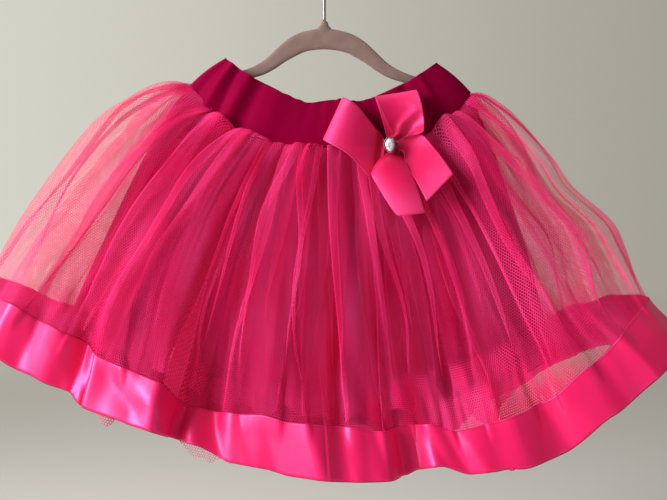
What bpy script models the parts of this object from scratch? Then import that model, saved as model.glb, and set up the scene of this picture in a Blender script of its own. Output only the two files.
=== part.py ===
"""A child's tulle skirt, hung by its waistband on a small flocked hanger.

Metres, +Z up. The front of the skirt faces -Y and +X is the viewer's right.
The origin is the inside top of the hook's crook, where it hangs on a rail.

The cloth layers are closed walls lofted through rings. A ring is a flattened
oval with one height at its two sides and others at its front and its back.
A turn of 0 is the front centre, 0.25 the +X side and 0.5 the back centre.
"""

import math
from collections import namedtuple

import bmesh
import bpy
import numpy as np
from mathutils import Vector
from mathutils.bvhtree import BVHTree

# ---------------------------------------------------------------- driving sizes
SEAM_GAP = 0.0003  # between pieces that are sewn, or that rest on each other
RIBBON_WIDTH = 0.050
BAND_WALL = 0.0025
BAND_RUFFLE = 0.0015
BAND_RUFFLES = 9
NET_WALL = 0.0012
LINING_WALL = 0.0012
RIBBON_WALL = 0.0010
RIBBON_LAID = 0.0005  # off the net, measured square to its smooth form
NET_SHORT_OF_HEM = 0.006  # the net ends this far above the ribbon's lower edge

COLUMNS = 96  # round each layer: every second one is the crest of a pleat
CURVE_SAMPLES = 49  # along one column, to measure its length

# lean is how far a ring drops for each metre towards +X, as the skirt hangs askew.
Ring = namedtuple(
    "Ring", "half_width centre_x lean front_y back_y side_z front_z back_z power"
)

BAND_TOP = Ring(0.0995, 0.0062, 0.022, -0.0200, 0.0200, -0.0975, -0.1385, -0.1310, 2.0)
SEAM = Ring(0.1325, 0.0053, 0.022, -0.0295, 0.0285, -0.1240, -0.1770, -0.1720, 3.4)

# Each layer hangs from the seam along a cubic curve through four rings.
OUTER_NET = (
    SEAM,
    Ring(0.182, -0.0020, 0.030, -0.058, 0.050, -0.108, -0.198, -0.200, 3.0),
    Ring(0.283, -0.0045, 0.045, -0.124, 0.060, -0.275, -0.330, -0.350, 2.2),
    Ring(0.330, 0.0050, 0.050, -0.152, 0.047, -0.340, -0.4535, -0.465, 2.2),
)
INNER_NET = (
    SEAM,
    Ring(0.170, -0.0020, 0.028, -0.050, 0.040, -0.120, -0.208, -0.208, 3.0),
    Ring(0.262, -0.0060, 0.045, -0.104, 0.042, -0.272, -0.336, -0.352, 2.2),
    Ring(0.303, 0.0000, 0.050, -0.124, 0.022, -0.342, -0.450, -0.452, 2.2),
)
LINING = (
    SEAM,
    Ring(0.152, 0.0030, 0.025, -0.043, 0.030, -0.148, -0.216, -0.214, 3.0),
    Ring(0.192, -0.0060, 0.045, -0.084, 0.026, -0.262, -0.332, -0.340, 2.2),
    Ring(0.222, -0.0120, 0.055, -0.098, 0.008, -0.362, -0.421, -0.424, 2.0),
)

# The hem's largest folds: how far each place stands out, and how far it is drawn
# up. Two rows close together are a step, where one stretch hangs before the next.
Fold = namedtuple("Fold", "turn depth rise")
HEM_FOLDS = (
    Fold(-0.250, 0.000, 0.004),
    Fold(-0.195, 0.004, 0.000),
    Fold(-0.172, 0.000, 0.008),
    Fold(-0.155, -0.005, 0.016),
    Fold(-0.146, 0.010, 0.007),
    Fold(-0.117, 0.006, 0.009),
    Fold(-0.094, 0.012, 0.014),
    Fold(-0.083, -0.009, 0.013),
    Fold(-0.060, 0.002, 0.008),
    Fold(-0.020, 0.006, 0.003),
    Fold(0.010, 0.004, -0.001),
    Fold(0.031, 0.014, 0.000),
    Fold(0.042, -0.012, 0.006),
    Fold(0.052, -0.010, 0.008),
    Fold(0.063, 0.008, 0.008),
    Fold(0.084, 0.004, -0.002),
    Fold(0.100, -0.002, -0.003),
    Fold(0.117, 0.004, -0.009),
    Fold(0.140, -0.003, -0.008),
    Fold(0.166, 0.006, 0.000),
    Fold(0.205, -0.002, 0.012),
    Fold(0.250, 0.002, 0.010),
    Fold(0.292, -0.005, 0.004),
    Fold(0.323, 0.008, 0.000),
    Fold(0.344, -0.006, 0.005),
    Fold(0.385, 0.007, -0.003),
    Fold(0.427, -0.008, 0.002),
    Fold(0.469, 0.010, -0.004),
    Fold(0.510, -0.007, 0.003),
    Fold(0.563, 0.008, -0.002),
    Fold(0.604, -0.006, 0.004),
    Fold(0.646, 0.009, -0.001),
    Fold(0.667, -0.006, 0.006),
    Fold(0.708, 0.005, 0.002),
    Fold(0.750, 0.000, 0.004),
)
HEM_FOLD_START = 0.22  # share of the length at which the hem's folds begin

PLEAT_AT_SEAM = 0.0010
PLEAT_DEPTH = 0.0060
LINING_PLEAT_DEPTH = 0.0030

# Outlines of the hanger's flocked bar: distance from the middle, then heights.
BarSection = namedtuple("BarSection", "x top bottom")
BAR_SECTIONS = (
    BarSection(0.0000, -0.0676, -0.0872),
    BarSection(0.0170, -0.0702, -0.0892),
    BarSection(0.0270, -0.0735, -0.0935),
    BarSection(0.0372, -0.0797, -0.0991),
    BarSection(0.0474, -0.0889, -0.1061),
    BarSection(0.0575, -0.0981, -0.1116),
    BarSection(0.0677, -0.1043, -0.1150),
    BarSection(0.0800, -0.1091, -0.1183),
    BarSection(0.1000, -0.1145, -0.1231),
    BarSection(0.1137, -0.1182, -0.1264),
    BarSection(0.1192, -0.1215, -0.1258),
)
BAR_THICKNESS = 0.0050
BAR_ROUNDING = 0.0016
BAR_CENTRE_X = 0.0012
BAR_LEAN = 0.022

HOOK_WIRE = 0.003
CROOK_INSIDE_RADIUS = 0.017
HOOK_BEND_RADIUS = 0.008
HOOK_END_TURN = math.radians(205)
NECK_TOP = -0.0612
NECK_FOOT = -0.0652
NECK_RADIUS = 0.0042

# The bow, measured from the middle of its stone.
BOW_X = 0.0595
BOW_Z = -0.1770
KNOT_RADIUS = 0.0050
KNOT_BACK_LIFT = -0.0019
KNOT_DEPTH = 0.0125
DENT_BRIDGED = 0.005  # how far in front of the seam the bow lies
BOW_WALL = 0.0010

# A station is one place along a ribbon: its middle, half of its width as a
# vector, its height off the skirt, and how far its middle is dished.
Station = namedtuple("Station", "x z half_x half_z lift dish")
LEFT_LOOP = (
    Station(-0.0055, 0.0000, 0.0005, 0.0042, 0.0075, 0.0010),
    Station(-0.0095, -0.0022, 0.0015, 0.0135, 0.0100, 0.0020),
    Station(-0.0170, -0.0030, 0.0035, 0.0235, 0.0140, 0.0010),
    Station(-0.0330, 0.0085, 0.0072, 0.0232, 0.0185, 0.0000),
    Station(-0.0440, 0.0190, 0.0088, 0.0212, 0.0165, 0.0000),
    Station(-0.0490, 0.0230, 0.0090, 0.0210, 0.0110, 0.0000),
    Station(-0.0445, 0.0195, 0.0088, 0.0205, 0.0055, 0.0000),
    Station(-0.0310, 0.0090, 0.0070, 0.0190, 0.0035, 0.0000),
    Station(-0.0150, 0.0010, 0.0030, 0.0130, 0.0030, 0.0000),
    Station(-0.0056, 0.0000, 0.0005, 0.0040, 0.0034, 0.0000),
)
RIGHT_LOOP = (
    Station(0.0012, 0.0055, 0.0042, -0.0010, 0.0075, 0.0010),
    Station(0.0040, 0.0110, 0.0100, -0.0020, 0.0105, 0.0020),
    Station(0.0090, 0.0230, 0.0180, -0.0035, 0.0150, 0.0030),
    Station(0.0090, 0.0380, 0.0210, 0.0000, 0.0160, 0.0015),
    Station(0.0060, 0.0480, 0.0205, 0.0030, 0.0125, 0.0000),
    Station(0.0065, 0.0470, 0.0200, 0.0030, 0.0070, 0.0000),
    Station(0.0120, 0.0330, 0.0170, 0.0000, 0.0040, 0.0000),
    Station(0.0080, 0.0180, 0.0120, -0.0020, 0.0030, 0.0000),
    Station(0.0012, 0.0056, 0.0040, -0.0010, 0.0034, 0.0000),
)
RIGHT_TAIL = (
    Station(0.0056, -0.0008, 0.0010, 0.0038, 0.0052, 0.0000),
    Station(0.0130, -0.0018, 0.0040, 0.0085, 0.0085, 0.0015),
    Station(0.0245, -0.0065, 0.0090, 0.0150, 0.0110, 0.0030),
    Station(0.0330, -0.0180, 0.0125, 0.0155, 0.0110, 0.0015),
    Station(0.0430, -0.0365, 0.0120, 0.0118, 0.0105, 0.0000),
)
LOWER_TAIL = (
    Station(-0.0004, -0.0056, 0.0040, 0.0000, 0.0036, 0.0000),
    Station(-0.0014, -0.0130, 0.0102, 0.0020, 0.0062, 0.0010),
    Station(0.0030, -0.0260, 0.0192, 0.0010, 0.0080, 0.0020),
    Station(0.0115, -0.0420, 0.0190, -0.0015, 0.0080, 0.0015),
    Station(0.0175, -0.0590, 0.0120, 0.0010, 0.0075, 0.0010),
)
RIBBON_STRIP_COLUMNS = 5

STONE_HALF_WIDTH = 0.0044
STONE_HALF_HEIGHT = 0.0056
STONE_HEIGHT = 0.0036
SETTING_RIM = 0.0011
SETTING_DEPTH = 0.0022
STONE_SIDES = 16


# ---------------------------------------------------------------- rings and walls
def ring_points(ring, angle):
    """Points of a ring at the given angles, 0 at the front and growing towards +X."""
    across, along = np.sin(angle), np.cos(angle)
    middle = (ring.front_y + ring.back_y) / 2
    half_depth = (ring.back_y - ring.front_y) / 2
    facing = (1 + along) / 2
    middle_z = ring.front_z * facing + ring.back_z * (1 - facing)
    x = ring.centre_x + ring.half_width * across
    z = ring.side_z + (middle_z - ring.side_z) * (1 - np.abs(across) ** ring.power)
    return np.stack([x, middle - half_depth * along, z - ring.lean * x], axis=-1)


def column_angles(ring, count):
    """Angles that step evenly along the ring's edge, with columns on both sides' ends."""
    fine = np.linspace(0, math.pi / 2, 400)
    half_depth = (ring.back_y - ring.front_y) / 2
    speed = np.hypot(ring.half_width * np.cos(fine), half_depth * np.sin(fine))
    run = np.concatenate([[0], np.cumsum((speed[1:] + speed[:-1]) / 2)])
    quarter = np.interp(np.arange(count // 4) * 4 / count, run / run[-1], fine)
    right = np.concatenate([quarter, [math.pi / 2], math.pi - quarter[:0:-1]])
    return np.concatenate([right, math.pi + right])


def layer_points(rings, start, angle, share):
    """Points of a layer that hangs from the start points down through its rings.

    A share runs from 0 at the seam to 1 at the hem, by the length of its column.
    Returns the points and each column's length.
    """
    t = np.linspace(0, 1, CURVE_SAMPLES)[:, None, None]
    b, c, d = (ring_points(ring, angle)[None] for ring in rings[1:])
    curve = start * (1 - t) ** 3 + 3 * b * t * (1 - t) ** 2 + 3 * c * t**2 * (1 - t) + d * t**3
    step = np.linalg.norm(np.diff(curve, axis=0), axis=2)
    run = np.concatenate([np.zeros((1, len(angle))), np.cumsum(step, axis=0)])
    points = np.empty((share.shape[0], len(angle), 3))
    for column in range(len(angle)):
        wanted = share[:, column] * run[-1, column]
        for axis in range(3):
            points[:, column, axis] = np.interp(wanted, run[:, column], curve[:, column, axis])
    return points, run[-1]


def tube_normals(points):
    """Outward unit normals of a closed tube's grid of rows and columns."""
    around = np.roll(points, -1, axis=1) - np.roll(points, 1, axis=1)
    down = np.gradient(points, axis=0)
    normals = np.cross(down, around)
    return normals / np.linalg.norm(normals, axis=2, keepdims=True)


def smooth_step(value):
    """0 below 0, 1 above 1, and an even ease between."""
    value = np.clip(value, 0, 1)
    return value * value * (3 - 2 * value)


def hem_fold(turn, column):
    """One column of the fold table at each turn, eased between the table's rows."""
    places = np.array([fold.turn for fold in HEM_FOLDS])
    values = np.array([getattr(fold, column) for fold in HEM_FOLDS])
    turn = (turn - places[0]) % 1 + places[0]
    index = np.clip(np.searchsorted(places, turn, side="right") - 1, 0, len(places) - 2)
    ease = smooth_step((turn - places[index]) / (places[index + 1] - places[index]))
    return values[index] * (1 - ease) + values[index + 1] * ease


def pleats(turn):
    """Height of the pleats at each column, 0 in a valley and uneven on the crests."""
    crest = np.arange(len(turn)) % 2
    size = 0.70 + 0.18 * np.sin(2 * math.pi * 5 * turn) + 0.12 * np.cos(2 * math.pi * 11 * turn)
    return crest * size


def link_mesh(name, mesh, material):
    """Puts a mesh in the scene as a named object, shaded smooth with sharp rims."""
    mesh.materials.append(material)
    mesh.shade_smooth()
    mesh.set_sharp_from_angle(angle=math.radians(40))
    obj = bpy.data.objects.new(name, mesh)
    bpy.context.scene.collection.objects.link(obj)
    return obj


def wall(name, front, back, closed, material):
    """A closed wall between two grids of rows and columns, front being its outer face."""
    rows, columns = front.shape[:2]
    index = np.arange(rows * columns).reshape(rows, columns)
    faces = []

    def strip(a, b, c, d):
        """Two triangles for each corner a to d, always split along a to c."""
        faces.extend(np.stack([a, b, c], axis=-1).reshape(-1, 3))
        faces.extend(np.stack([a, c, d], axis=-1).reshape(-1, 3))

    after = np.roll(index, -1, axis=1) if closed else index[:, 1:]
    here = index if closed else index[:, :-1]
    behind = rows * columns
    strip(here[:-1], here[1:], after[1:], after[:-1])
    strip(here[:-1] + behind, after[:-1] + behind, after[1:] + behind, here[1:] + behind)
    strip(here[0], after[0], after[0] + behind, here[0] + behind)
    strip(here[-1], here[-1] + behind, after[-1] + behind, after[-1])
    if not closed:
        left, right = index[:, 0], index[:, -1]
        strip(left[:-1], left[:-1] + behind, left[1:] + behind, left[1:])
        strip(right[:-1], right[1:], right[1:] + behind, right[:-1] + behind)
    points = np.concatenate([front.reshape(-1, 3), back.reshape(-1, 3)])
    mesh = bpy.data.meshes.new(name)
    mesh.from_pydata([tuple(point) for point in points], [], [tuple(face) for face in faces])
    return link_mesh(name, mesh, material)


# ---------------------------------------------------------------- cloth
def even_rows(shares):
    """The same shares of the length in every column."""
    return np.repeat(np.array(shares)[:, None], COLUMNS, axis=1)


def make_waistband(angle, material):
    """The elastic band: a ring, its top edge drawn in and a little ruffled."""
    top, foot = ring_points(BAND_TOP, angle), ring_points(SEAM, angle)
    top[:, 2] += BAND_RUFFLE * np.cos(BAND_RUFFLES * angle) * np.abs(np.cos(angle))
    outside = np.stack([top, foot])
    wall("waistband", outside, outside - BAND_WALL * tube_normals(outside), True, material)


def make_outer_net(angle, turn, start, net_material, ribbon_material):
    """The outer net, and the satin ribbon that lies on its lowest stretch.

    Returns the net's inside points and normals at the seam, for the next layer.
    """
    length = layer_points(OUTER_NET, start, angle, np.ones((1, COLUMNS)))[1]
    ribbon_top = 1 - RIBBON_WIDTH / length
    net_end = 1 - NET_SHORT_OF_HEM / length
    upper = even_rows([0, 0.05, 0.14, 0.28, 0.46, 0.66])
    share = np.concatenate([upper, np.stack([ribbon_top, net_end, np.ones(COLUMNS)])])
    base = layer_points(OUTER_NET, start, angle, share)[0]
    normals = tube_normals(base)
    grown = smooth_step((share - HEM_FOLD_START) / (1 - HEM_FOLD_START))
    pleat = PLEAT_AT_SEAM + (PLEAT_DEPTH - PLEAT_AT_SEAM) * smooth_step(share / 0.35)
    pleat *= 1 - smooth_step((share - 0.45) / (ribbon_top - 0.45))
    depth = pleat * pleats(turn) + grown * hem_fold(turn, "depth")
    outside = base + depth[..., None] * normals
    outside[..., 2] += grown * hem_fold(turn, "rise")
    net_rows = slice(0, len(upper) + 2)
    inside = outside - NET_WALL * normals
    wall("outer_net", outside[net_rows], inside[net_rows], True, net_material)
    laid = (outside + RIBBON_LAID * normals)[len(upper) :]
    face = laid + RIBBON_WALL * normals[len(upper) :]
    wall("hem_ribbon", face, laid, True, ribbon_material)
    return inside[0], normals[0]


def make_inner_net(angle, turn, start, material):
    """The inner net, with a raw lower edge that waves up and down."""
    share = even_rows([0, 0.05, 0.16, 0.34, 0.56, 0.80, 1])
    base = layer_points(INNER_NET, start, angle, share)[0]
    normals = tube_normals(base)
    depth = 0.8 * PLEAT_DEPTH * smooth_step(share / 0.6) * pleats(turn)
    outside = base + depth[..., None] * normals
    outside[-1, :, 2] += 0.003 * np.sin(2 * math.pi * 11 * turn)
    inside = outside - NET_WALL * normals
    wall("inner_net", outside, inside, True, material)
    return inside[0], normals[0]


def make_lining(angle, turn, start, material):
    """The opaque lining: narrower and shorter than the nets, with shallow pleats."""
    share = even_rows([0, 0.12, 0.52, 1])
    base = layer_points(LINING, start, angle, share)[0]
    normals = tube_normals(base)
    depth = LINING_PLEAT_DEPTH * smooth_step(share) * pleats(turn)
    outside = base + depth[..., None] * normals
    wall("lining", outside, outside - LINING_WALL * normals, True, material)


def make_skirt(band, net, lining, ribbon):
    """The band and the layers, each layer starting just inside the one before it."""
    angle = column_angles(OUTER_NET[3], COLUMNS)
    turn = np.arange(COLUMNS) / COLUMNS
    make_waistband(angle, band)
    down = ring_points(SEAM, angle) - ring_points(BAND_TOP, angle)
    down /= np.linalg.norm(down, axis=1, keepdims=True)
    start = ring_points(SEAM, angle) + 2 * SEAM_GAP * down
    inside, normals = make_outer_net(angle, turn, start, net, ribbon)
    inside, normals = make_inner_net(angle, turn, inside - SEAM_GAP * normals, net)
    make_lining(angle, turn, inside - SEAM_GAP * normals, lining)


# ---------------------------------------------------------------- bow
def skirt_front():
    """A tree of the skirt's smooth front, from above the band to half way down the net."""
    angle = column_angles(SEAM, COLUMNS)
    top, seam = ring_points(BAND_TOP, angle), ring_points(SEAM, angle)
    below = layer_points(OUTER_NET, seam, angle, even_rows([0.06, 0.12, 0.2, 0.3, 0.4, 0.5]))[0]
    above = 2 * top - seam
    grid = np.concatenate([[above, top, seam - (0, DENT_BRIDGED, 0)], below])
    rows, columns = grid.shape[:2]
    index = np.arange(rows * columns).reshape(rows, columns)
    after = np.roll(index, -1, axis=1)
    quads = np.stack([index[:-1], index[1:], after[1:], after[:-1]], axis=-1).reshape(-1, 4)
    points = [Vector(point) for point in grid.reshape(-1, 3)]
    return BVHTree.FromPolygons(points, [tuple(int(i) for i in quad) for quad in quads])


def front_y(tree, x, z):
    """How far back the skirt's front lies at a place, as a y."""
    place = tree.ray_cast(Vector((x, -1.0, z)), Vector((0.0, 1.0, 0.0)))[0]
    return place.y


def ribbon_strip(name, stations, tree, material):
    """A wall of ribbon through its stations, held off the skirt by their lifts."""
    across = np.linspace(-1, 1, RIBBON_STRIP_COLUMNS)
    middle = np.empty((len(stations), RIBBON_STRIP_COLUMNS, 3))
    for row, station in zip(middle, stations):
        for point, side in zip(row, across):
            x = BOW_X + station.x + station.half_x * side
            z = BOW_Z + station.z + station.half_z * side
            lift = station.lift - station.dish * (1 - side * side)
            point[:] = (x, front_y(tree, x, z) - lift, z)
    normals = np.cross(np.gradient(middle, axis=0), np.gradient(middle, axis=1))
    normals /= np.linalg.norm(normals, axis=2, keepdims=True)
    half = BOW_WALL / 2 * normals
    strip = wall(name, middle + half, middle - half, False, material)
    work = bmesh.new()
    work.from_mesh(strip.data)
    bmesh.ops.recalc_face_normals(work, faces=work.faces)
    work.to_mesh(strip.data)
    work.free()
    return strip


def oval_turning(name, profile, half_width, half_height, back_y, material):
    """A piece turned about the Y axis through the bow's middle, on an oval plan.

    Each row of profile is (share of the half sizes, distance in front of back_y).
    """
    angles = np.arange(STONE_SIDES) * 2 * math.pi / STONE_SIDES
    work = bmesh.new()
    loops = []
    for size, forward in profile:
        x = BOW_X + half_width * size * np.cos(angles)
        z = BOW_Z + half_height * size * np.sin(angles)
        loops.append([work.verts.new((px, back_y - forward, pz)) for px, pz in zip(x, z)])
    for low, high in zip(loops, loops[1:]):
        for i in range(STONE_SIDES):
            j = (i + 1) % STONE_SIDES
            work.faces.new((low[i], low[j], high[j], high[i]))
    work.faces.new(loops[0])
    work.faces.new(loops[-1])
    bmesh.ops.recalc_face_normals(work, faces=work.faces)
    mesh = bpy.data.meshes.new(name)
    work.to_mesh(mesh)
    work.free()
    return link_mesh(name, mesh, material)


def make_bow(ribbon, stone, metal):
    """Two loops and two tails round a covered knot, with a stone in a metal cup."""
    tree = skirt_front()
    ribbon_strip("bow_left_loop", LEFT_LOOP, tree, ribbon)
    ribbon_strip("bow_right_loop", RIGHT_LOOP, tree, ribbon)
    ribbon_strip("bow_right_tail", RIGHT_TAIL, tree, ribbon)
    ribbon_strip("bow_lower_tail", LOWER_TAIL, tree, ribbon)
    back_y = front_y(tree, BOW_X, BOW_Z) - KNOT_BACK_LIFT
    knot = [(0.3, 0.0), (1.0, 0.0048), (1.0, KNOT_DEPTH - 0.001), (0.85, KNOT_DEPTH)]
    oval_turning("bow_knot", knot, KNOT_RADIUS, KNOT_RADIUS, back_y, ribbon)
    back_y -= KNOT_DEPTH + SEAM_GAP
    cup = [(0.9, 0.0), (1.0, 0.0006), (1.0, SETTING_DEPTH), (0.86, SETTING_DEPTH)]
    half_width, half_height = STONE_HALF_WIDTH + SETTING_RIM, STONE_HALF_HEIGHT + SETTING_RIM
    oval_turning("stone_setting", cup, half_width, half_height, back_y, metal)
    back_y -= SETTING_DEPTH + SEAM_GAP
    cut = [(0.92, 0.0), (1.0, 0.0009), (0.62, STONE_HEIGHT)]
    oval_turning("stone", cut, STONE_HALF_WIDTH, STONE_HALF_HEIGHT, back_y, stone)


# ---------------------------------------------------------------- hanger
def make_hanger_bar(material):
    """The flocked bar: an arched plate with softened edges, and a short neck."""
    right = [(section.x, section.top) for section in BAR_SECTIONS[1:]]
    under = [(section.x, section.bottom) for section in reversed(BAR_SECTIONS)]
    left = [(-x, z) for x, z in reversed(right + under[:-1])]
    shoulder = BAR_SECTIONS[0].top
    neck = [
        (-NECK_RADIUS - 0.003, shoulder),
        (-NECK_RADIUS, NECK_FOOT),
        (-NECK_RADIUS + 0.0014, NECK_TOP),
        (NECK_RADIUS - 0.0014, NECK_TOP),
        (NECK_RADIUS, NECK_FOOT),
        (NECK_RADIUS + 0.003, shoulder),
    ]
    work = bmesh.new()
    corners = [
        work.verts.new((x, -BAR_THICKNESS / 2, z))
        for x, z in neck + [(BAR_CENTRE_X + x, z - BAR_LEAN * x) for x, z in right + under + left]
    ]
    grown = bmesh.ops.extrude_face_region(work, geom=[work.faces.new(corners)])
    moved = [part for part in grown["geom"] if isinstance(part, bmesh.types.BMVert)]
    bmesh.ops.translate(work, verts=moved, vec=(0, BAR_THICKNESS, 0))
    bmesh.ops.recalc_face_normals(work, faces=work.faces)
    mesh = bpy.data.meshes.new("hanger_bar")
    work.to_mesh(mesh)
    work.free()
    bar = link_mesh("hanger_bar", mesh, material)
    rounding = bar.modifiers.new("rounding", "BEVEL")
    rounding.width = BAR_ROUNDING
    rounding.segments = 2
    rounding.angle_limit = math.radians(50)
    return bar


def hook_route():
    """Middle line of the hook's wire: stem, bend, then the crook round its centre."""
    crook = CROOK_INSIDE_RADIUS + HOOK_WIRE / 2
    centre_z = -CROOK_INSIDE_RADIUS
    bend_z = centre_z - math.sqrt(crook**2 + 2 * crook * HOOK_BEND_RADIUS)
    meet = math.atan2(bend_z - centre_z, HOOK_BEND_RADIUS)
    route = [(0.0, NECK_TOP + SEAM_GAP), (0.0, (NECK_TOP + bend_z) / 2)]
    for angle in np.linspace(math.pi, meet + math.pi, 5):
        x = HOOK_BEND_RADIUS * (1 + math.cos(angle))
        route.append((x, bend_z + HOOK_BEND_RADIUS * math.sin(angle)))
    for angle in np.linspace(meet, HOOK_END_TURN, 22)[1:]:
        route.append((crook * math.cos(angle), centre_z + crook * math.sin(angle)))
    return route


def make_hook(material):
    """The steel hook, a bent wire with closed ends."""
    curve = bpy.data.curves.new("hanger_hook", "CURVE")
    curve.dimensions = "3D"
    curve.bevel_depth = HOOK_WIRE / 2
    curve.bevel_resolution = 3
    curve.use_fill_caps = True
    route = hook_route()
    spline = curve.splines.new("POLY")
    spline.points.add(len(route) - 1)
    for point, (x, z) in zip(spline.points, route):
        point.co = (x, 0.0, z, 1.0)
    curve.materials.append(material)
    hook = bpy.data.objects.new("hanger_hook", curve)
    bpy.context.scene.collection.objects.link(hook)
    return hook


# ---------------------------------------------------------------- the whole part
def finish_of(name, colour, roughness, metallic=0.0):
    """A plain finish with the piece's colour, roughness and metallic value."""
    material = bpy.data.materials.new(name)
    material.use_nodes = True
    shader = material.node_tree.nodes["Principled BSDF"]
    shader.inputs["Base Color"].default_value = (*colour, 1.0)
    shader.inputs["Roughness"].default_value = roughness
    shader.inputs["Metallic"].default_value = metallic
    return material


def main():
    """Clears the scene and builds every piece."""
    for obj in list(bpy.data.objects):
        bpy.data.objects.remove(obj)
    net = finish_of("pink_net", (0.86, 0.10, 0.26), 0.7)
    lining = finish_of("lining_satin", (0.60, 0.01, 0.10), 0.45)
    ribbon = finish_of("ribbon_satin", (0.93, 0.10, 0.32), 0.3)
    make_skirt(finish_of("band_jersey", (0.40, 0.004, 0.07), 0.6), net, lining, ribbon)
    stone = finish_of("clear_stone", (0.9, 0.9, 0.92), 0.05)
    silver = finish_of("silver", (0.75, 0.75, 0.77), 0.25, 1.0)
    make_bow(ribbon, stone, silver)
    make_hanger_bar(finish_of("rose_flock", (0.32, 0.20, 0.17), 0.95))
    make_hook(finish_of("steel", (0.65, 0.65, 0.63), 0.25, 1.0))


main()
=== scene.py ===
"""The looks of a child's tulle skirt that hangs by its waistband on a flocked hanger.

Metres, +Z up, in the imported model's frame: the front of the skirt faces -Y, +X is
the viewer's right and the origin is the inside top of the hook's crook. A turn is a
place round the skirt: 0 at the front centre, 0.25 at the +X side, 0.5 at the back.

The gathered cloths are worked out as a maker would cut them: a strip of a known
width whose heading swings to and fro, so that it folds up into the shorter ring
that it is sewn to, and opens towards the hem.
"""

from __future__ import annotations

import logging
import math
from dataclasses import dataclass, field
from enum import Enum
from typing import Callable, ClassVar, Sequence, Union

import bmesh
import bpy
import numpy as np
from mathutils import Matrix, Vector
from mathutils.bvhtree import BVHTree
from numpy.typing import NDArray


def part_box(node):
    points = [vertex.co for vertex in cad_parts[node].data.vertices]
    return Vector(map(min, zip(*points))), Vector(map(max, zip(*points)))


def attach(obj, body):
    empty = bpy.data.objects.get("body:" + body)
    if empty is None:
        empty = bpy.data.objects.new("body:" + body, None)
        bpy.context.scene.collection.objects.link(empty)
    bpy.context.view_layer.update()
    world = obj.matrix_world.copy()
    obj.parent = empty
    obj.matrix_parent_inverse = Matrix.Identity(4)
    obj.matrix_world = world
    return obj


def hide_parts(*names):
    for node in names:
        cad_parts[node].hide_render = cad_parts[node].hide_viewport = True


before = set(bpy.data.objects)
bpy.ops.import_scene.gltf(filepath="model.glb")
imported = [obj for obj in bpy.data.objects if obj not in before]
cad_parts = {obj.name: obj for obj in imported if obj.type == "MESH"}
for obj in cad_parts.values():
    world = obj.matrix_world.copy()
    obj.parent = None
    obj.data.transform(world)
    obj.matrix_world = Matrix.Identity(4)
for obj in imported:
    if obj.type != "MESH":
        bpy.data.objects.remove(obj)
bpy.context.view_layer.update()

Array = NDArray[np.float64]
Colour = tuple[float, float, float]
Place = tuple[float, float, float]
Number = Union["Wire", float]
Piece = bpy.types.Object
Material = bpy.types.Material

LOG = logging.getLogger("skirt")
TAU = 2 * math.pi
UP = np.array([0.0, 0.0, 1.0])
BODY = "root"
CUT_MAP = "cut"  # the UV map that holds places on the flat cloth, in metres


# ---------------------------------------------------------------- curves and waves
def smooth_step(value: Array) -> Array:
    """0 below 0, 1 above 1 and v * v * (3 - 2 v) between."""
    value = np.clip(value, 0, 1)
    return value * value * (3 - 2 * value)


def eased(value: Array, start: float, over: float) -> Array:
    """A smooth step that leaves 0 at start and has reached 1 after over."""
    return smooth_step((value - start) / over)


def bell(away: Array, width: float | Array, power: int = 2) -> Array:
    """exp(-(away / width)^power): 1 in the middle and 0 far from it."""
    return np.exp(-((away / width) ** power))


def window(away: Array, half: Array | float, soft: float) -> Array:
    """1 within half of the middle and 0 outside, with soft ends."""
    return (np.tanh((away + half) / soft) - np.tanh((away - half) / soft)) / 2


def apart(turn: Array, place: Array | float) -> Array:
    """How far each turn is from a place, the short way round."""
    return (turn - place + 0.5) % 1.0 - 0.5


def around(count: int) -> Array:
    """Even angles round a whole turn, without the last."""
    return np.arange(count) / count * TAU


def stacked(*parts: Array | float) -> Array:
    """Arrays broadcast together and stacked along a new last axis."""
    return np.stack(np.broadcast_arrays(*parts), axis=-1)


def low_pass(values: Array, width: float) -> Array:
    """Periodic smoothing along the last axis.

    Wave k of the row is scaled by exp(-(2 pi k width)^2 / 2).

    Args:
        values: rows of one whole turn each.
        width: the smoothing's spread, as a share of the row.

    Returns:
        The smoothed rows.
    """
    waves = np.fft.rfft(values, axis=-1)
    k = np.arange(waves.shape[-1])
    return np.fft.irfft(waves * np.exp(-((TAU * k * width) ** 2) / 2), n=values.shape[-1], axis=-1)


def ripple(s: Array, share: Array, waves: tuple[int, int], slide: float, seed: int) -> Array:
    """An uneven periodic wave with a standard deviation of a half.

    The sum over k from waves[0] to waves[1] of sin(2 pi (k s + p_k + q_k share)) / sqrt(2 n),
    with p_k in 0 to 1 and q_k within slide, drawn from the seed.

    Args:
        s: places along the row, 0 to 1.
        share: shares of the length, one for each row or for each point.
        waves: the lowest and the highest wave number.
        slide: how far each wave slides along from the first row to the last.
        seed: what the phases are drawn from.

    Returns:
        Values of shape share broadcast with s.
    """
    rng = np.random.default_rng(seed)
    total = np.zeros(np.broadcast(s, share).shape)
    numbers = range(waves[0], waves[1] + 1)
    for k in numbers:
        phase, drift = rng.random(), slide * (2 * rng.random() - 1)
        total = total + np.sin(TAU * (k * s + phase + drift * share))
    return total / math.sqrt(2 * len(numbers))


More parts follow.
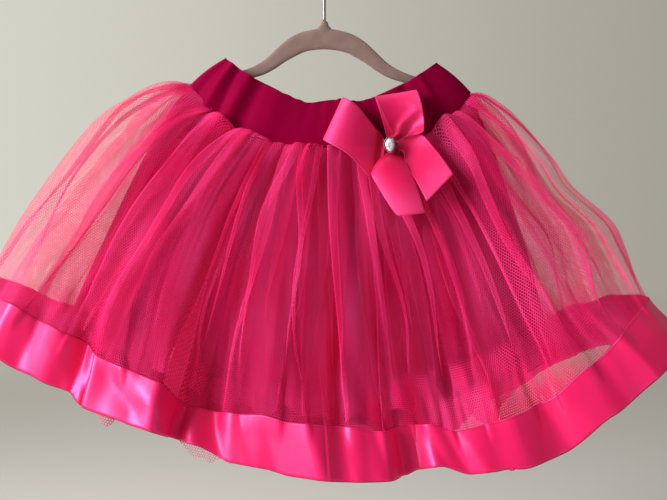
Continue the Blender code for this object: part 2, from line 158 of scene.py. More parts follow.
def spline(values: Array, count: int) -> Array:
    """A smooth Catmull-Rom curve through rows of values.

    Between rows b and c, with a before and d after them and t from 0 to 1, it is
    b + (c - a) t / 2 + (a - 5 b / 2 + 2 c - d / 2) t^2 + ((d - a) / 2 + 3 (b - c) / 2) t^3.

    Args:
        values: the rows that it runs through.
        count: how many rows it gives.

    Returns:
        The rows, evenly spread over the curve's parameter.
    """
    values = np.asarray(values, float)
    padded = np.concatenate([2 * values[:1] - values[1:2], values, 2 * values[-1:] - values[-2:-1]])
    place = np.linspace(0, len(values) - 1, count)
    i = np.minimum(place.astype(int), len(values) - 2)
    t = (place - i)[:, None]
    a, b, c, d = (padded[i + k] for k in range(4))
    bend = (a - 2.5 * b + 2 * c - d / 2) * t**2
    return b + (c - a) * t / 2 + bend + ((d - a) / 2 + 1.5 * (b - c)) * t**3


# ---------------------------------------------------------------- meshes
def grid_normals(points: Array, closed: bool) -> Array:
    """Unit normals of a grid: (step down) x (step across), by central differences.

    Args:
        points: rows down and columns across.
        closed: True where the last column joins the first.

    Returns:
        A normal for each point.
    """
    if closed:
        across = np.roll(points, -1, axis=1) - np.roll(points, 1, axis=1)
    else:
        across = np.gradient(points, axis=1)
    normals = np.cross(np.gradient(points, axis=0), across)
    return normals / np.maximum(np.linalg.norm(normals, axis=2, keepdims=True), 1e-12)


@dataclass
class Surface:
    """A grid of points, rows down and columns across.

    cut is each point's place on the flat cloth, with one column more than points where
    the grid is closed. cover is how much of the light each point's threads stop.
    """

    points: Array
    cut: Array | None = None
    closed: bool = True
    cover: Array | None = None

    def moved(self, by: float) -> "Surface":
        """The same grid moved along its own normals."""
        normals = grid_normals(self.points, self.closed)
        return Surface(self.points + by * normals, self.cut, self.closed)


def in_scene(name: str, data: bpy.types.ID) -> Piece:
    """Links a new object to the scene.

    Args:
        name: the object's name.
        data: its mesh, light or camera.

    Returns:
        The object.
    """
    obj = bpy.data.objects.new(name, data)
    bpy.context.scene.collection.objects.link(obj)
    return obj


def grid_mesh(name: str, surface: Surface, rings: bool = False) -> Piece:
    """Makes a mesh of quads from a grid.

    Args:
        name: the object's name.
        surface: the grid.
        rings: True where the last row joins the first, as on a hoop.

    Returns:
        The object, in the scene, shaded smooth.
    """
    rows, columns = surface.points.shape[:2]
    index = np.arange(rows * columns).reshape(rows, columns)
    if surface.closed:
        index = np.concatenate([index, index[:, :1]], axis=1)
    if rings:
        index = np.concatenate([index, index[:1]])
    loops = quads(index)
    mesh = bpy.data.meshes.new(name)
    mesh.vertices.add(rows * columns)
    mesh.vertices.foreach_set("co", surface.points.astype(np.float32).ravel())
    mesh.loops.add(len(loops))
    mesh.loops.foreach_set("vertex_index", loops.astype(np.int32))
    mesh.polygons.add(len(loops) // 4)
    mesh.polygons.foreach_set("loop_start", np.arange(0, len(loops), 4, dtype=np.int32))
    if surface.cut is not None:
        places = np.arange(surface.cut[..., 0].size).reshape(surface.cut.shape[:2])
        uv = surface.cut.reshape(-1, 2)[quads(places)]
        mesh.uv_layers.new(name=CUT_MAP).data.foreach_set("uv", uv.astype(np.float32).ravel())
    if surface.cover is not None:
        cover = mesh.attributes.new("cover", "FLOAT", "POINT")
        cover.data.foreach_set("value", surface.cover.astype(np.float32).ravel())
    mesh.update(calc_edges=True)
    mesh.validate()
    mesh.shade_smooth()
    return in_scene(name, mesh)


def quads(index: NDArray[np.int64]) -> NDArray[np.int64]:
    """The corners of a grid's quads, four after four, from its points' numbers."""
    corners = [index[:-1, :-1], index[1:, :-1], index[1:, 1:], index[:-1, 1:]]
    return np.stack(corners, axis=-1).reshape(-1)


def turn_outwards(mesh: bpy.types.Mesh, *joined: bpy.types.Mesh) -> None:
    """Turns a mesh's faces outwards.

    Args:
        mesh: the mesh, which is changed.
        joined: other meshes that are added to it first.
    """
    work = bmesh.new()
    for part in (mesh, *joined):
        work.from_mesh(part)
    bmesh.ops.recalc_face_normals(work, faces=work.faces)
    work.to_mesh(mesh)
    work.free()


def add_wall(obj: Piece, thickness: float, offset: float = -1.0) -> None:
    """Gives a sheet its thickness with Solidify.

    Args:
        obj: the sheet.
        thickness: in metres.
        offset: -1 for a wall inwards from the sheet, 0 for one on both sides.
    """
    wall = obj.modifiers.new("wall", "SOLIDIFY")
    wall.thickness = thickness
    wall.offset = offset


def node_box(node: str) -> tuple[Array, Array, Array, Array]:
    """A CAD node's lowest and highest corners, its middle and half of its size."""
    low, high = (np.array(corner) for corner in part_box(node))
    return low, high, (low + high) / 2, (high - low) / 2


def show(obj: Piece, material: Material, slot: str, *replaces: str) -> Piece:
    """Dresses a piece, makes it ride on the part and hides the CAD nodes that it stands for.

    Args:
        obj: the piece.
        material: its finish.
        slot: a material slot's name; not used.
        replaces: the CAD nodes that it stands for.

    Returns:
        The piece.
    """
    obj.data.materials.clear()
    obj.data.materials.append(material)
    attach(obj, BODY)
    if replaces:
        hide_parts(*replaces)
    LOG.info("%s: %d faces", obj.name, len(obj.data.polygons))
    return obj


# ---------------------------------------------------------------- shader maths
class Wire:
    """One socket's value. Its operators add the Math nodes that work them out."""

    def __init__(self, nodes: "Nodes", socket: bpy.types.NodeSocket) -> None:
        """Wraps a socket of a node tree."""
        self.nodes = nodes
        self.socket = socket

    def maths(self, operation: str, *values: Number) -> "Wire":
        """A Math node's result for these values."""
        return self.nodes.node("ShaderNodeMath", {"operation": operation}, dict(enumerate(values)))

    def __add__(self, other: Number) -> "Wire":
        """self + other"""
        return self.maths("ADD", self, other)

    def __radd__(self, other: float) -> "Wire":
        """other + self"""
        return self.maths("ADD", other, self)

    def __sub__(self, other: Number) -> "Wire":
        """self - other"""
        return self.maths("SUBTRACT", self, other)

    def __rsub__(self, other: float) -> "Wire":
        """other - self"""
        return self.maths("SUBTRACT", other, self)

    def __mul__(self, other: Number) -> "Wire":
        """self * other"""
        return self.maths("MULTIPLY", self, other)

    def __rmul__(self, other: float) -> "Wire":
        """other * self"""
        return self.maths("MULTIPLY", other, self)

    def __abs__(self) -> "Wire":
        """self without its sign"""
        return self.maths("ABSOLUTE", self)

    def cos(self) -> "Wire":
        """The cosine of a value in radians."""
        return self.maths("COSINE", self)

    def above(self, level: float, soft: float) -> "Wire":
        """0 below level - soft, 1 above level + soft and an even ease between."""
        ends = {"Value": self, "From Min": level - soft, "From Max": level + soft}
        return self.nodes.node("ShaderNodeMapRange", {"interpolation_type": "SMOOTHSTEP"}, ends)

    def clipped(self, low: float = 0.0, high: float = 1.0) -> "Wire":
        """The value kept between low and high."""
        return self.nodes.node("ShaderNodeClamp", {}, {"Value": self, "Min": low, "Max": high})


class Nodes:
    """A node tree, and the one method that adds nodes to it."""

    def __init__(self, tree: bpy.types.NodeTree) -> None:
        """Takes the tree."""
        self.tree = tree

    def node(self, kind: str, settings: dict, inputs: dict, output: int | str = 0) -> Wire:
        """Adds a node.

        Args:
            kind: the node's type.
            settings: its properties, which are set first.
            inputs: values or wires by socket name or number.
            output: the socket that is returned.

        Returns:
            The chosen output.
        """
        made = self.tree.nodes.new(kind)
        for key, value in settings.items():
            setattr(made, key, value)
        for key, value in inputs.items():
            self.set(made.inputs[key], value)
        return Wire(self, made.outputs[output])

    def set(self, socket: bpy.types.NodeSocket, value: "Number | Colour") -> None:
        """Links a wire to a socket, or writes a value on it.

        Args:
            socket: an input.
            value: a wire, a number, a vector or a colour, whose alpha is 1.
        """
        if isinstance(value, Wire):
            self.tree.links.new(value.socket, socket)
        elif isinstance(value, tuple) and socket.type == "RGBA":
            socket.default_value = (*value, 1.0)
        else:
            socket.default_value = value

    def blend(self, share: Wire, low: "Wire | Colour", high: "Wire | Colour") -> Wire:
        """A colour that goes from low to high as share goes from 0 to 1."""
        return self.node("ShaderNodeMix", {"data_type": "RGBA"}, {0: share, 6: low, 7: high}, 2)

    def parts(self, vector: Wire) -> tuple[Wire, Wire, Wire]:
        """A vector's x, y and z."""
        x = self.node("ShaderNodeSeparateXYZ", {}, {0: vector})
        return x, *(Wire(self, output) for output in x.socket.node.outputs[1:])


class Shading(Nodes):
    """One material and its nodes, around a Principled shader."""

    def __init__(self, name: str, **constants: float | Colour) -> None:
        """Makes the material and sets what is the same all over it.

        Args:
            name: the material's name.
            constants: Principled sockets by name, with _ for a space.
        """
        self.material = bpy.data.materials.new(name)
        self.material.use_nodes = True
        super().__init__(self.material.node_tree)
        self.feed(**constants)

    def feed(self, **inputs: "Number | Colour") -> None:
        """Sets the Principled shader's sockets, or links wires to them.

        Args:
            inputs: values or wires by socket name, with _ for a space.
        """
        sockets = self.tree.nodes["Principled BSDF"].inputs
        for key, value in inputs.items():
            self.set(sockets[key.replace("_", " ")], value)

    def place(self) -> Wire:
        """Object coordinates, in metres."""
        return self.node("ShaderNodeTexCoord", {}, {}, "Object")

    def cut(self) -> tuple[Wire, Wire, Wire]:
        """The place on the flat cloth in metres: as a vector, across and down."""
        vector = self.node("ShaderNodeUVMap", {"uv_map": CUT_MAP}, {})
        return vector, *self.parts(vector)[:2]

    def value(self, attribute: str) -> Wire:
        """A number that the mesh holds at each point."""
        return self.node("ShaderNodeAttribute", {"attribute_name": attribute}, {}, "Fac")

    def stretched(self, vector: Wire, scale: Place) -> Wire:
        """A vector scaled along each axis."""
        return self.node("ShaderNodeVectorMath", {"operation": "MULTIPLY"}, {0: vector, 1: scale})

    def distance(self, vector: Wire, place: Place) -> Wire:
        """How far a vector is from a place."""
        return self.node("ShaderNodeVectorMath", {"operation": "DISTANCE"}, {0: vector, 1: place}, "Value")

    def noise(self, vector: Wire, scale: float, detail: float = 2.0) -> Wire:
        """A noise of 0 to 1, scale being how many lumps a metre has."""
        return self.node("ShaderNodeTexNoise", {}, {"Vector": vector, "Scale": scale, "Detail": detail})

    def tone(self, vector: Wire, scale: float, level: float, soft: float, detail: float = 2.0) -> Wire:
        """Soft patches: 1 where the noise is above level + soft and 0 below level - soft."""
        return self.noise(vector, scale, detail).above(level, soft)

    def bump(self, height: Wire, depth: float) -> Wire:
        """A normal for a height of 0 to 1 that stands for depth metres."""
        return self.node("ShaderNodeBump", {}, {"Height": height, "Strength": 1.0, "Distance": depth})


# ---------------------------------------------------------------- finishes
@dataclass(frozen=True)
class Finish:
    """A finish's colour and gloss, on which each kind of finish draws its own pattern."""

    colour: Colour
    roughness: float = 0.5
    gloss: float = 0.5
    gloss_tint: Colour = (1.0, 1.0, 1.0)

    OTHERS: ClassVar[dict[str, float | Colour]] = {}  # what else is the same all over

    def material(self, name: str) -> Material:
        """Makes the finish's material.

        Args:
            name: the material's name.

        Returns:
            The material, with its constants set and its pattern drawn.
        """
        shading = Shading(
            name,
            Base_Color=self.colour,
            Roughness=self.roughness,
            Specular_IOR_Level=self.gloss,
            Specular_Tint=self.gloss_tint,
            **self.OTHERS,
        )
        self.dress(shading)
        return shading.material

    def dress(self, shading: Shading) -> None:
        """Draws the pattern, which every kind of finish has."""
        raise NotImplementedError


@dataclass(frozen=True)
class NetFinish(Finish):
    """Nylon net: a honeycomb of threads with clear holes between them."""

    colour: Colour = (0.86, 0.008, 0.112)
    pale: Colour = (0.94, 0.062, 0.262)
    roughness: float = 0.6
    gloss: float = 0.12
    gloss_tint: Colour = (1.0, 0.10, 0.40)
    hole_pitch: float = 0.0024
    thickness: float = 0.2
    crowding: float = 4.0  # how fast threads thicken above open_cover
    open_cover: float = 0.22
    gain: float = 1.85

    def dress(self, shading: Shading) -> None:
        """Draws the threads in Alpha and pale patches in the colour.

        Three waves at 60 degrees to each other add up to w, 3 in the middle of a hole
        and -1.5 where three threads meet. Alpha is cover * gain * max(0, thickness - w),
        and the threads grow thicker where many layers lie close, so that holes fill in.

        Args:
            shading: the material's nodes.
        """
        vector, across, down = shading.cut()
        turn = TAU / (self.hole_pitch * math.sqrt(3) / 2)
        waves = [
            (across * (turn * math.cos(a)) + down * (turn * math.sin(a))).cos()
            for a in (math.pi / 2, math.pi / 6, -math.pi / 6)
        ]
        lattice = waves[0] + waves[1] + waves[2]
        cover = shading.value("cover")
        thickness = self.thickness + self.crowding * (cover - self.open_cover).clipped()
        weave = ((thickness - lattice) * self.gain).clipped(0.0, 4.0)
        patch = shading.tone(shading.stretched(vector, (1.0, 0.25, 1.0)), 38.0, 0.52, 0.3)
        colour = shading.blend(patch, self.colour, self.pale)
        shading.feed(Alpha=(cover * weave).clipped(), Base_Color=colour)


@dataclass(frozen=True)
class SatinFinish(Finish):
    """Satin ribbon: a fine weave along its length, a soft gloss and a sewn edge.

    width is the ribbon's, and knot the x and z of the knot. Near the knot a bow's
    ribbon gets painted shade, a deeper red, and far from it a painted highlight, paler lilac.
    """

    colour: Colour = (0.74, 0.003, 0.072)
    pale: Colour = (0.88, 0.012, 0.125)
    edge: Colour = (0.40, 0.002, 0.042)
    thread: Colour = (0.34, 0.001, 0.035)
    # painted shade near a bow's knot, and a painted highlight at its ribbons' far ends
    painted_knot_shade: Colour = (0.46, 0.001, 0.018)
    painted_end_highlight: Colour = (0.96, 0.090, 0.300)
    width: float = 0.047
    roughness: float = 0.36
    gloss: float = 0.95
    gloss_tint: Colour = (1.0, 0.40, 1.0)
    thread_pitch: float = 0.0006
    stitch_pitch: float = 0.0026
    knot: tuple[float, float] | None = None

    OTHERS = {"Anisotropic": 0.3}

    def dress(self, shading: Shading) -> None:
        """Draws the threads, their slubs, the woven edges and a row of stitches, and on a bow painted shade
        near the knot and a painted highlight at the far ends.

        Args:
            shading: the material's nodes.
        """
        vector, across, down = shading.cut()
        threads = 0.5 + 0.5 * (down * (TAU / self.thread_pitch)).cos()
        slubs = shading.noise(shading.stretched(vector, (40.0, 900.0, 1.0)), 1.0)
        share = down * (1 / self.width)
        edge = abs(share - 0.5).above(0.487, 0.006)
        tone = shading.tone(vector, 24.0, 0.5, 0.35)
        colour = shading.blend(tone * 0.35 + slubs * 0.2, self.colour, self.pale)
        colour = shading.blend(edge * 0.85, colour, self.edge)
        row = 1 - abs(share - 0.042).above(0.010, 0.006)
        stitches = row * (across * (TAU / self.stitch_pitch)).cos().above(-0.2, 0.3)
        colour = shading.blend(stitches * 0.6, colour, self.thread)
        if self.knot is not None:
            place = shading.stretched(shading.place(), (1.0, 0.0, 1.0))
            away = shading.distance(place, (self.knot[0], 0.0, self.knot[1]))
            # painted shade: the ribbon darkens to a deeper red near the knot, where it is gathered
            colour = shading.blend((1 - away.above(0.020, 0.011)) * 0.7, colour, self.painted_knot_shade)
            # painted highlight: the ribbon pales towards lilac far from the knot
            colour = shading.blend(away.above(0.044, 0.012) * 0.32, colour, self.painted_end_highlight)
        rough = self.roughness + 0.08 * slubs + 0.3 * edge
        height = shading.bump(threads * 0.35 + slubs * 0.65, 0.00005)
        shading.feed(Base_Color=colour, Roughness=rough, Normal=height)


@dataclass(frozen=True)
class JerseyFinish(Finish):
    """Elastic jersey: fine knitted ribs that run up the band."""

    colour: Colour = (0.215, 0.0003, 0.025)
    pale: Colour = (0.255, 0.0008, 0.036)
    gloss: float = 0.03
    gloss_tint: Colour = (0.95, 0.01, 0.20)
    rib_pitch: float = 0.0011
    stitch_pitch: float = 0.0008

    def dress(self, shading: Shading) -> None:
        """Draws the ribs, their stitches and a fuzz.

        Args:
            shading: the material's nodes.
        """
        vector, across, down = shading.cut()
        ribs = 0.5 + 0.5 * (across * (TAU / self.rib_pitch)).cos()
        stitches = 0.5 + 0.5 * (down * (TAU / self.stitch_pitch)).cos()
        fuzz = shading.noise(vector, 900.0, 3.0)
        tone = shading.tone(shading.stretched(vector, (1.0, 0.4, 1.0)), 30.0, 0.5, 0.3)
        colour = shading.blend(tone * 0.5 + fuzz * 0.3, self.colour, self.pale)
        height = shading.bump(ribs * 0.5 + stitches * 0.2 + fuzz * 0.3, 0.0001)
        shading.feed(Base_Color=colour, Normal=height)


@dataclass(frozen=True)
class LiningFinish(Finish):
    """Soft lining cloth, with a low sheen and a faint slub down its length."""

    colour: Colour = (0.27, 0.0004, 0.010)
    pale: Colour = (0.34, 0.0010, 0.017)
    roughness: float = 0.55
    gloss: float = 0.2
    gloss_tint: Colour = (1.0, 0.02, 0.2)

    def dress(self, shading: Shading) -> None:
        """Draws the slubs and paler patches.

        Args:
            shading: the material's nodes.
        """
        vector = shading.cut()[0]
        slubs = shading.noise(shading.stretched(vector, (600.0, 60.0, 1.0)), 1.0, 3.0)
        tone = shading.tone(shading.stretched(vector, (1.0, 0.3, 1.0)), 22.0, 0.5, 0.35)
        colour = shading.blend(tone * 0.6 + slubs * 0.2, self.colour, self.pale)
        shading.feed(Base_Color=colour, Normal=shading.bump(slubs, 0.00008))


@dataclass(frozen=True)
class FlockFinish(Finish):
    """Flocked plastic: short dense fibres that catch light at their tips."""

    colour: Colour = (0.210, 0.128, 0.103)
    pale: Colour = (0.305, 0.203, 0.171)
    roughness: float = 0.9
    gloss: float = 0.15

    OTHERS = {"Sheen_Weight": 0.5, "Sheen_Roughness": 0.5, "Sheen_Tint": (0.9, 0.75, 0.7)}

    def dress(self, shading: Shading) -> None:
        """Draws the fibres and the patches where their nap lies another way.

        Args:
            shading: the material's nodes.
        """
        place = shading.place()
        fibres = shading.noise(place, 2600.0)
        naps = shading.tone(place, 90.0, 0.5, 0.25, 3.0)
        colour = shading.blend(naps * 0.45 + fibres * 0.35, self.colour, self.pale)
        shading.feed(Base_Color=colour, Normal=shading.bump(fibres, 0.00018))


@dataclass(frozen=True)
class MetalFinish(Finish):
    """Bright metal with faint drawing marks and dulled patches."""

    roughness: float = 0.24

    OTHERS = {"Metallic": 1.0}

    def dress(self, shading: Shading) -> None:
        """Draws the marks in the roughness and darkens the dulled patches.

        Args:
            shading: the material's nodes.
        """
        place = shading.place()
        marks = shading.noise(place, 350.0, 3.0)
        dull = shading.tone(place, 60.0, 0.6, 0.15)
        darker = tuple(0.7 * part for part in self.colour)
        shading.feed(
            Base_Color=shading.blend(dull * 0.6, self.colour, darker),
            Roughness=self.roughness + 0.12 * marks + 0.1 * dull,
        )


@dataclass(frozen=True)
class StoneFinish(Finish):
    """A clear cut stone on a foil back, so that its facets mirror."""

    colour: Colour = (0.97, 0.98, 0.99)
    shade: Colour = (0.50, 0.46, 0.50)
    roughness: float = 0.08

    OTHERS = {"Metallic": 0.35, "Coat_Weight": 1.0}

    def dress(self, shading: Shading) -> None:
        """Draws the darker glints inside the stone.

        Args:
            shading: the material's nodes.
        """
        glints = shading.tone(shading.place(), 600.0, 0.56, 0.10, 1.0)
        shading.feed(Base_Color=shading.blend(glints, self.colour, self.shade))


# ---------------------------------------------------------------- the skirt's form
@dataclass(frozen=True)
class Ring:
    """A flattened oval with one height at its sides and others at front and back.

    lean is how far it drops for each metre towards +X, as the skirt hangs askew.
    """

    half_width: float
    centre_x: float
    lean: float
    front_y: float
    back_y: float
    side_z: float
    front_z: float
    back_z: float
    power: float

    def points(self, angle: Array) -> Array:
        """Points at angles, 0 at the front and growing towards +X.

        x = centre + half_width sin a, y = middle - half_depth cos a and
        z = side + (middle_z - side) (1 - |sin a| ^ power) - lean x, where middle_z
        goes from front_z to back_z with (1 + cos a) / 2.

        Args:
            angle: in radians.

        Returns:
            A point for each angle.
        """
        across, along = np.sin(angle), np.cos(angle)
        facing = (1 + along) / 2
        middle_z = self.front_z * facing + self.back_z * (1 - facing)
        x = self.centre_x + self.half_width * across
        y = (self.front_y + self.back_y) / 2 - (self.back_y - self.front_y) / 2 * along
        z = self.side_z + (middle_z - self.side_z) * (1 - np.abs(across) ** self.power)
        return np.stack([x, y, z - self.lean * x], axis=-1)

    def angles(self, turn: Array) -> Array:
        """Angles whose share of the oval's edge, from the front, is turn.

        Args:
            turn: places round the oval, 0 to 1.

        Returns:
            An angle in radians for each.
        """
        fine = np.linspace(0, TAU, 2881)
        half_depth = (self.back_y - self.front_y) / 2
        speed = np.hypot(self.half_width * np.cos(fine), half_depth * np.sin(fine))
        run = np.concatenate([[0], np.cumsum((speed[1:] + speed[:-1]) / 2)])
        return np.interp(turn, run / run[-1], fine)


BAND_TOP = Ring(0.0995, 0.0062, 0.022, -0.0200, 0.0200, -0.0975, -0.1385, -0.1310, 2.0)
SEAM = Ring(0.1325, 0.0053, 0.022, -0.0295, 0.0285, -0.1240, -0.1770, -0.1720, 3.4)


class FormTable:
    """A smooth tube of cloth, tabled over turns and shares of its length.

    length is from seam to hem at each turn, points and normals are the tube's, and
    speed is how many metres a whole turn would take.
    """

    TURNS = 720
    SHARES = 220
    REACH = 1.08  # the table's last share, past the hem
    CURVE = 64  # how finely the curve is run through to measure its length

    def __init__(self, rings: Sequence[Ring], inset: float) -> None:
        """Hangs a cubic curve from the seam through three lower rings, for each turn.

        B(t) = S (1-t)^3 + 3 R1 t (1-t)^2 + 3 R2 t^2 (1-t) + R3 t^3, read by its length.

        Args:
            rings: the seam and the three rings below it.
            inset: how far inside the seam the cloth starts.
        """
        angle = rings[3].angles(np.arange(self.TURNS) / self.TURNS)
        inward = np.stack([-np.sin(angle), np.cos(angle), np.zeros_like(angle)], axis=-1)
        start = rings[0].points(angle) + inset * inward
        t = np.linspace(0, self.REACH, self.CURVE)[:, None, None]
        b, c, d = (ring.points(angle)[None] for ring in rings[1:])
        curve = start * (1 - t) ** 3 + 3 * b * t * (1 - t) ** 2 + 3 * c * t**2 * (1 - t) + d * t**3
        step = np.linalg.norm(np.diff(curve, axis=0), axis=2)
        run = np.concatenate([np.zeros((1, self.TURNS)), np.cumsum(step, axis=0)])
        self.length = np.array([np.interp(1.0, t[:, 0, 0], column) for column in run.T])
        share = np.linspace(0, self.REACH, self.SHARES)[:, None]
        wanted = np.minimum(share * self.length, run[-1] * 0.9999)
        low = (run[None] <= wanted[:, None]).sum(axis=1) - 1
        column = np.arange(self.TURNS)[None]
        part = ((wanted - run[low, column]) / (run[low + 1, column] - run[low, column]))[..., None]
        self.points = curve[low, column] * (1 - part) + curve[low + 1, column] * part
        self.normals = grid_normals(self.points, True)
        beside = (np.roll(self.points, -1, axis=1) - np.roll(self.points, 1, axis=1)) / 2
        self.speed = np.linalg.norm(beside, axis=2) * self.TURNS

    def read(self, table: Array, turn: Array, share: Array) -> Array:
        """A table's values, straight between its rows and columns.

        Args:
            table: the points, the normals or the speed.
            turn: places round the tube.
            share: shares of its length.

        Returns:
            A value for each place.
        """
        column = (turn % 1.0) * self.TURNS
        row = np.clip(share / self.REACH, 0, 1) * (self.SHARES - 1)
        i = np.minimum(row.astype(int), self.SHARES - 2)
        j = column.astype(int) % self.TURNS
        down, along = row - i, column - column.astype(int)
        if table.ndim == 3:
            down, along = down[..., None], along[..., None]
        k = (j + 1) % self.TURNS
        above = table[i, j] * (1 - along) + table[i, k] * along
        below = table[i + 1, j] * (1 - along) + table[i + 1, k] * along
        return above * (1 - down) + below * down

    def lengths(self, turn: Array) -> Array:
        """The length of the column at each turn, from seam to hem."""
        place = np.arange(self.TURNS + 1) / self.TURNS
        return np.interp(turn % 1.0, place, np.append(self.length, self.length[0]))


# ---------------------------------------------------------------- folds
def records(kind: type, *rows: tuple) -> tuple:
    """Records of one kind, made from plain rows."""
    return tuple(kind(*row) for row in rows)


class Overlap(Enum):
    """Which stretch of cloth lies in front where a fold doubles back."""

    LEFT_IN_FRONT = 1
    RIGHT_IN_FRONT = -1


LEFT, RIGHT = Overlap.LEFT_IN_FRONT, Overlap.RIGHT_IN_FRONT
RIBBON_WIDTH = 0.046  # of the hem ribbon, in metres
RIBBON_TOP = 1 - RIBBON_WIDTH / 0.30  # the share of a usual length at which it begins
HEM_FOLD_START = 0.22  # the share of the length at which the hem's folds begin


@dataclass(frozen=True)
class FoldLine:
    """Where the cloth doubles back on itself, from the seam down.

    turn is where the line meets the hem, lap how far it still overlaps there, and
    drift how far round the line wanders on its way up.
    """

    turn: float
    overlap: Overlap
    lap: float = 0.0
    drift: float = 0.0


@dataclass(frozen=True)
class Facet:
    """A flat stretch of the hem, turned a little to one side.

    slant is how far round it moves over the ribbon's width, down the hem.
    """

    start: float
    end: float
    swing: float
    slant: float = 0.0

    MIDDLE, RIBBON = 0.92, 0.15  # the ribbon's middle and width, as shares of the length
    STRENGTH, SOFT = 0.75, 0.0018

    def heading(self, turn: Array, level: Array) -> Array:
        """The heading's swing in radians.

        Args:
            turn: each column's turn.
            level: each row's share of the length.

        Returns:
            A row for each level.
        """
        middle = (self.start + self.end) / 2
        away = apart(turn[None] - self.slant * (level - self.MIDDLE) / self.RIBBON, middle)
        return self.STRENGTH * self.swing * window(away, (self.end - self.start) / 2, self.SOFT)


@dataclass(frozen=True)
class Gathers:
    """One family of folds. strength holds (share of the length, strength) rows."""

    count: int
    strength: tuple[tuple[float, float], ...]
    wander: float
    patchy: float
    seed: int

    def phase(self, s: Array, share: Array) -> Array:
        """Which fold each place is in: whole numbers lie in the valleys.

        Args:
            s: places across the cut, 0 to 1.
            share: shares of the length.

        Returns:
            count * s, pushed to and fro by wander.
        """
        slow = ripple(s, share, (3, max(6, self.count // 2)), 0.0, self.seed)
        wander = slow + 0.3 * ripple(s, share, (2, 9), 0.6, self.seed + 1)
        return self.count * s + self.wander * wander

    def heading(self, s: Array, share: Array) -> Array:
        """The heading's swing: -strength * patch * sin(2 pi phase).

        Args:
            s: places across the cut, 0 to 1.
            share: shares of the length.

        Returns:
            The swing in radians, patch making some stretches calm and others dense.
        """
        uneven = ripple(s, share, (4, max(8, self.count)), 0.9, self.seed + 2)
        patch = np.clip(1 + self.patchy * uneven, 0.05, 2.2)
        places, values = zip(*self.strength)
        return -np.interp(share, places, values) * patch * np.sin(TAU * self.phase(s, share))


@dataclass(frozen=True)
class Lobe:
    """A round puff of cloth over the seam: where it starts and how far it rises."""

    start: float
    rise: float


@dataclass(frozen=True)
class OpeningAndShade:
    """A stretch of sparser net, partly where the cloth lies in fewer plies and partly painted shade: the
    sparser net lets the dark lining show, so that a shaded fold valley reads darker.

    It runs from one turn at the seam to another at the hem, with a half width in
    turns, and missing is the share of threads that it lacks.
    """

    at_seam: float
    at_hem: float
    width: float
    missing: float

    def kept(self, placed: Array, share: Array) -> Array:
        """What share of the threads is left: 1 - missing * exp(-((turn - middle) / width)^4).

        Args:
            placed: turns.
            share: shares of the length.

        Returns:
            The share, which is 1 near the seam.
        """
        middle = self.at_seam + (self.at_hem - self.at_seam) * share
        lacking = bell(apart(placed, middle), self.width, 4) * eased(share, 0.2, 0.2)
        return 1 - self.missing * lacking


@dataclass(frozen=True)
class FoldPlan:
    """All of a cloth's fold lines: listed where they are given, uneven elsewhere."""

    given: tuple[FoldLine, ...]
    count: int
    seed: int

    SOFT = 0.0021  # metres: how tightly the cloth turns at a fold's edges
    WIDE = 1.7  # gaps over this many usual ones are filled with drawn lines
    FILL = 0.93  # how densely they are filled

    def lines(self) -> list[FoldLine]:
        """Draws the lines that lie between the given ones.

        Returns:
            Every fold line, in order round the cloth, from the first that is given.
        """
        rng = np.random.default_rng(self.seed)
        starts = [line.turn for line in self.given]
        gaps = np.diff(starts + [starts[0] + 1])
        shares = np.floor((gaps > self.WIDE / self.count) * gaps * self.count * self.FILL).astype(int)
        lines: list[FoldLine] = []
        for line, gap, extra in zip(self.given, gaps, np.maximum(shares - 1, 0)):
            lines.append(line)
            widths = rng.uniform(0.55, 1.5, extra + 1)
            for place in np.cumsum(widths)[:-1] / widths.sum() * gap:
                overlap = LEFT if rng.random() < 0.5 else RIGHT
                lines.append(FoldLine(line.turn + place, overlap, 0.0, rng.uniform(-0.012, 0.012)))
        LOG.info("%d fold lines, %d planned", len(lines), self.count)
        return lines


@dataclass(frozen=True)
class HemFold:
    """One place of the hem: how far it stands out, how far it is drawn up, and how far
    the ribbon's top sinks towards its bottom as the ribbon tips outwards."""

    turn: float
    depth: float
    rise: float
    tip: float = 0.0


HEM_FOLDS = records(
    HemFold,
    (-0.250, 0.000, -0.014), (-0.218, 0.003, -0.012), (-0.195, 0.004, -0.001),
    (-0.172, 0.000, 0.006), (-0.155, -0.005, 0.011), (-0.146, 0.010, 0.006, 0.001),
    (-0.117, 0.006, 0.011, 0.003), (-0.101, 0.012, 0.013, 0.005), (-0.089, -0.009, 0.012, 0.016),
    (-0.078, -0.004, 0.012, 0.014), (-0.056, 0.002, 0.005, 0.005), (-0.038, 0.003, 0.005, 0.002),
    (-0.020, 0.006, 0.002, 0.003), (0.010, 0.004, 0.000, 0.001), (0.034, 0.014, 0.000, 0.005),
    (0.045, -0.012, 0.003, 0.004), (0.053, -0.010, 0.007, 0.006), (0.063, 0.008, 0.008, 0.009),
    (0.084, 0.004, -0.003, 0.010), (0.100, -0.002, -0.005, 0.007), (0.117, 0.004, -0.010, 0.002),
    (0.140, -0.003, -0.010), (0.166, 0.006, 0.003), (0.205, -0.002, 0.012), (0.250, 0.002, 0.010),
    (0.292, -0.005, 0.024), (0.323, 0.008, 0.032), (0.344, -0.006, 0.034), (0.385, 0.007, 0.018),
    (0.427, -0.008, 0.002), (0.469, 0.010, -0.004), (0.510, -0.007, 0.003), (0.563, 0.008, -0.002),
    (0.604, -0.006, 0.004), (0.646, 0.009, -0.001), (0.667, -0.006, 0.006), (0.708, 0.005, -0.008),
    (0.750, 0.000, -0.014),
)


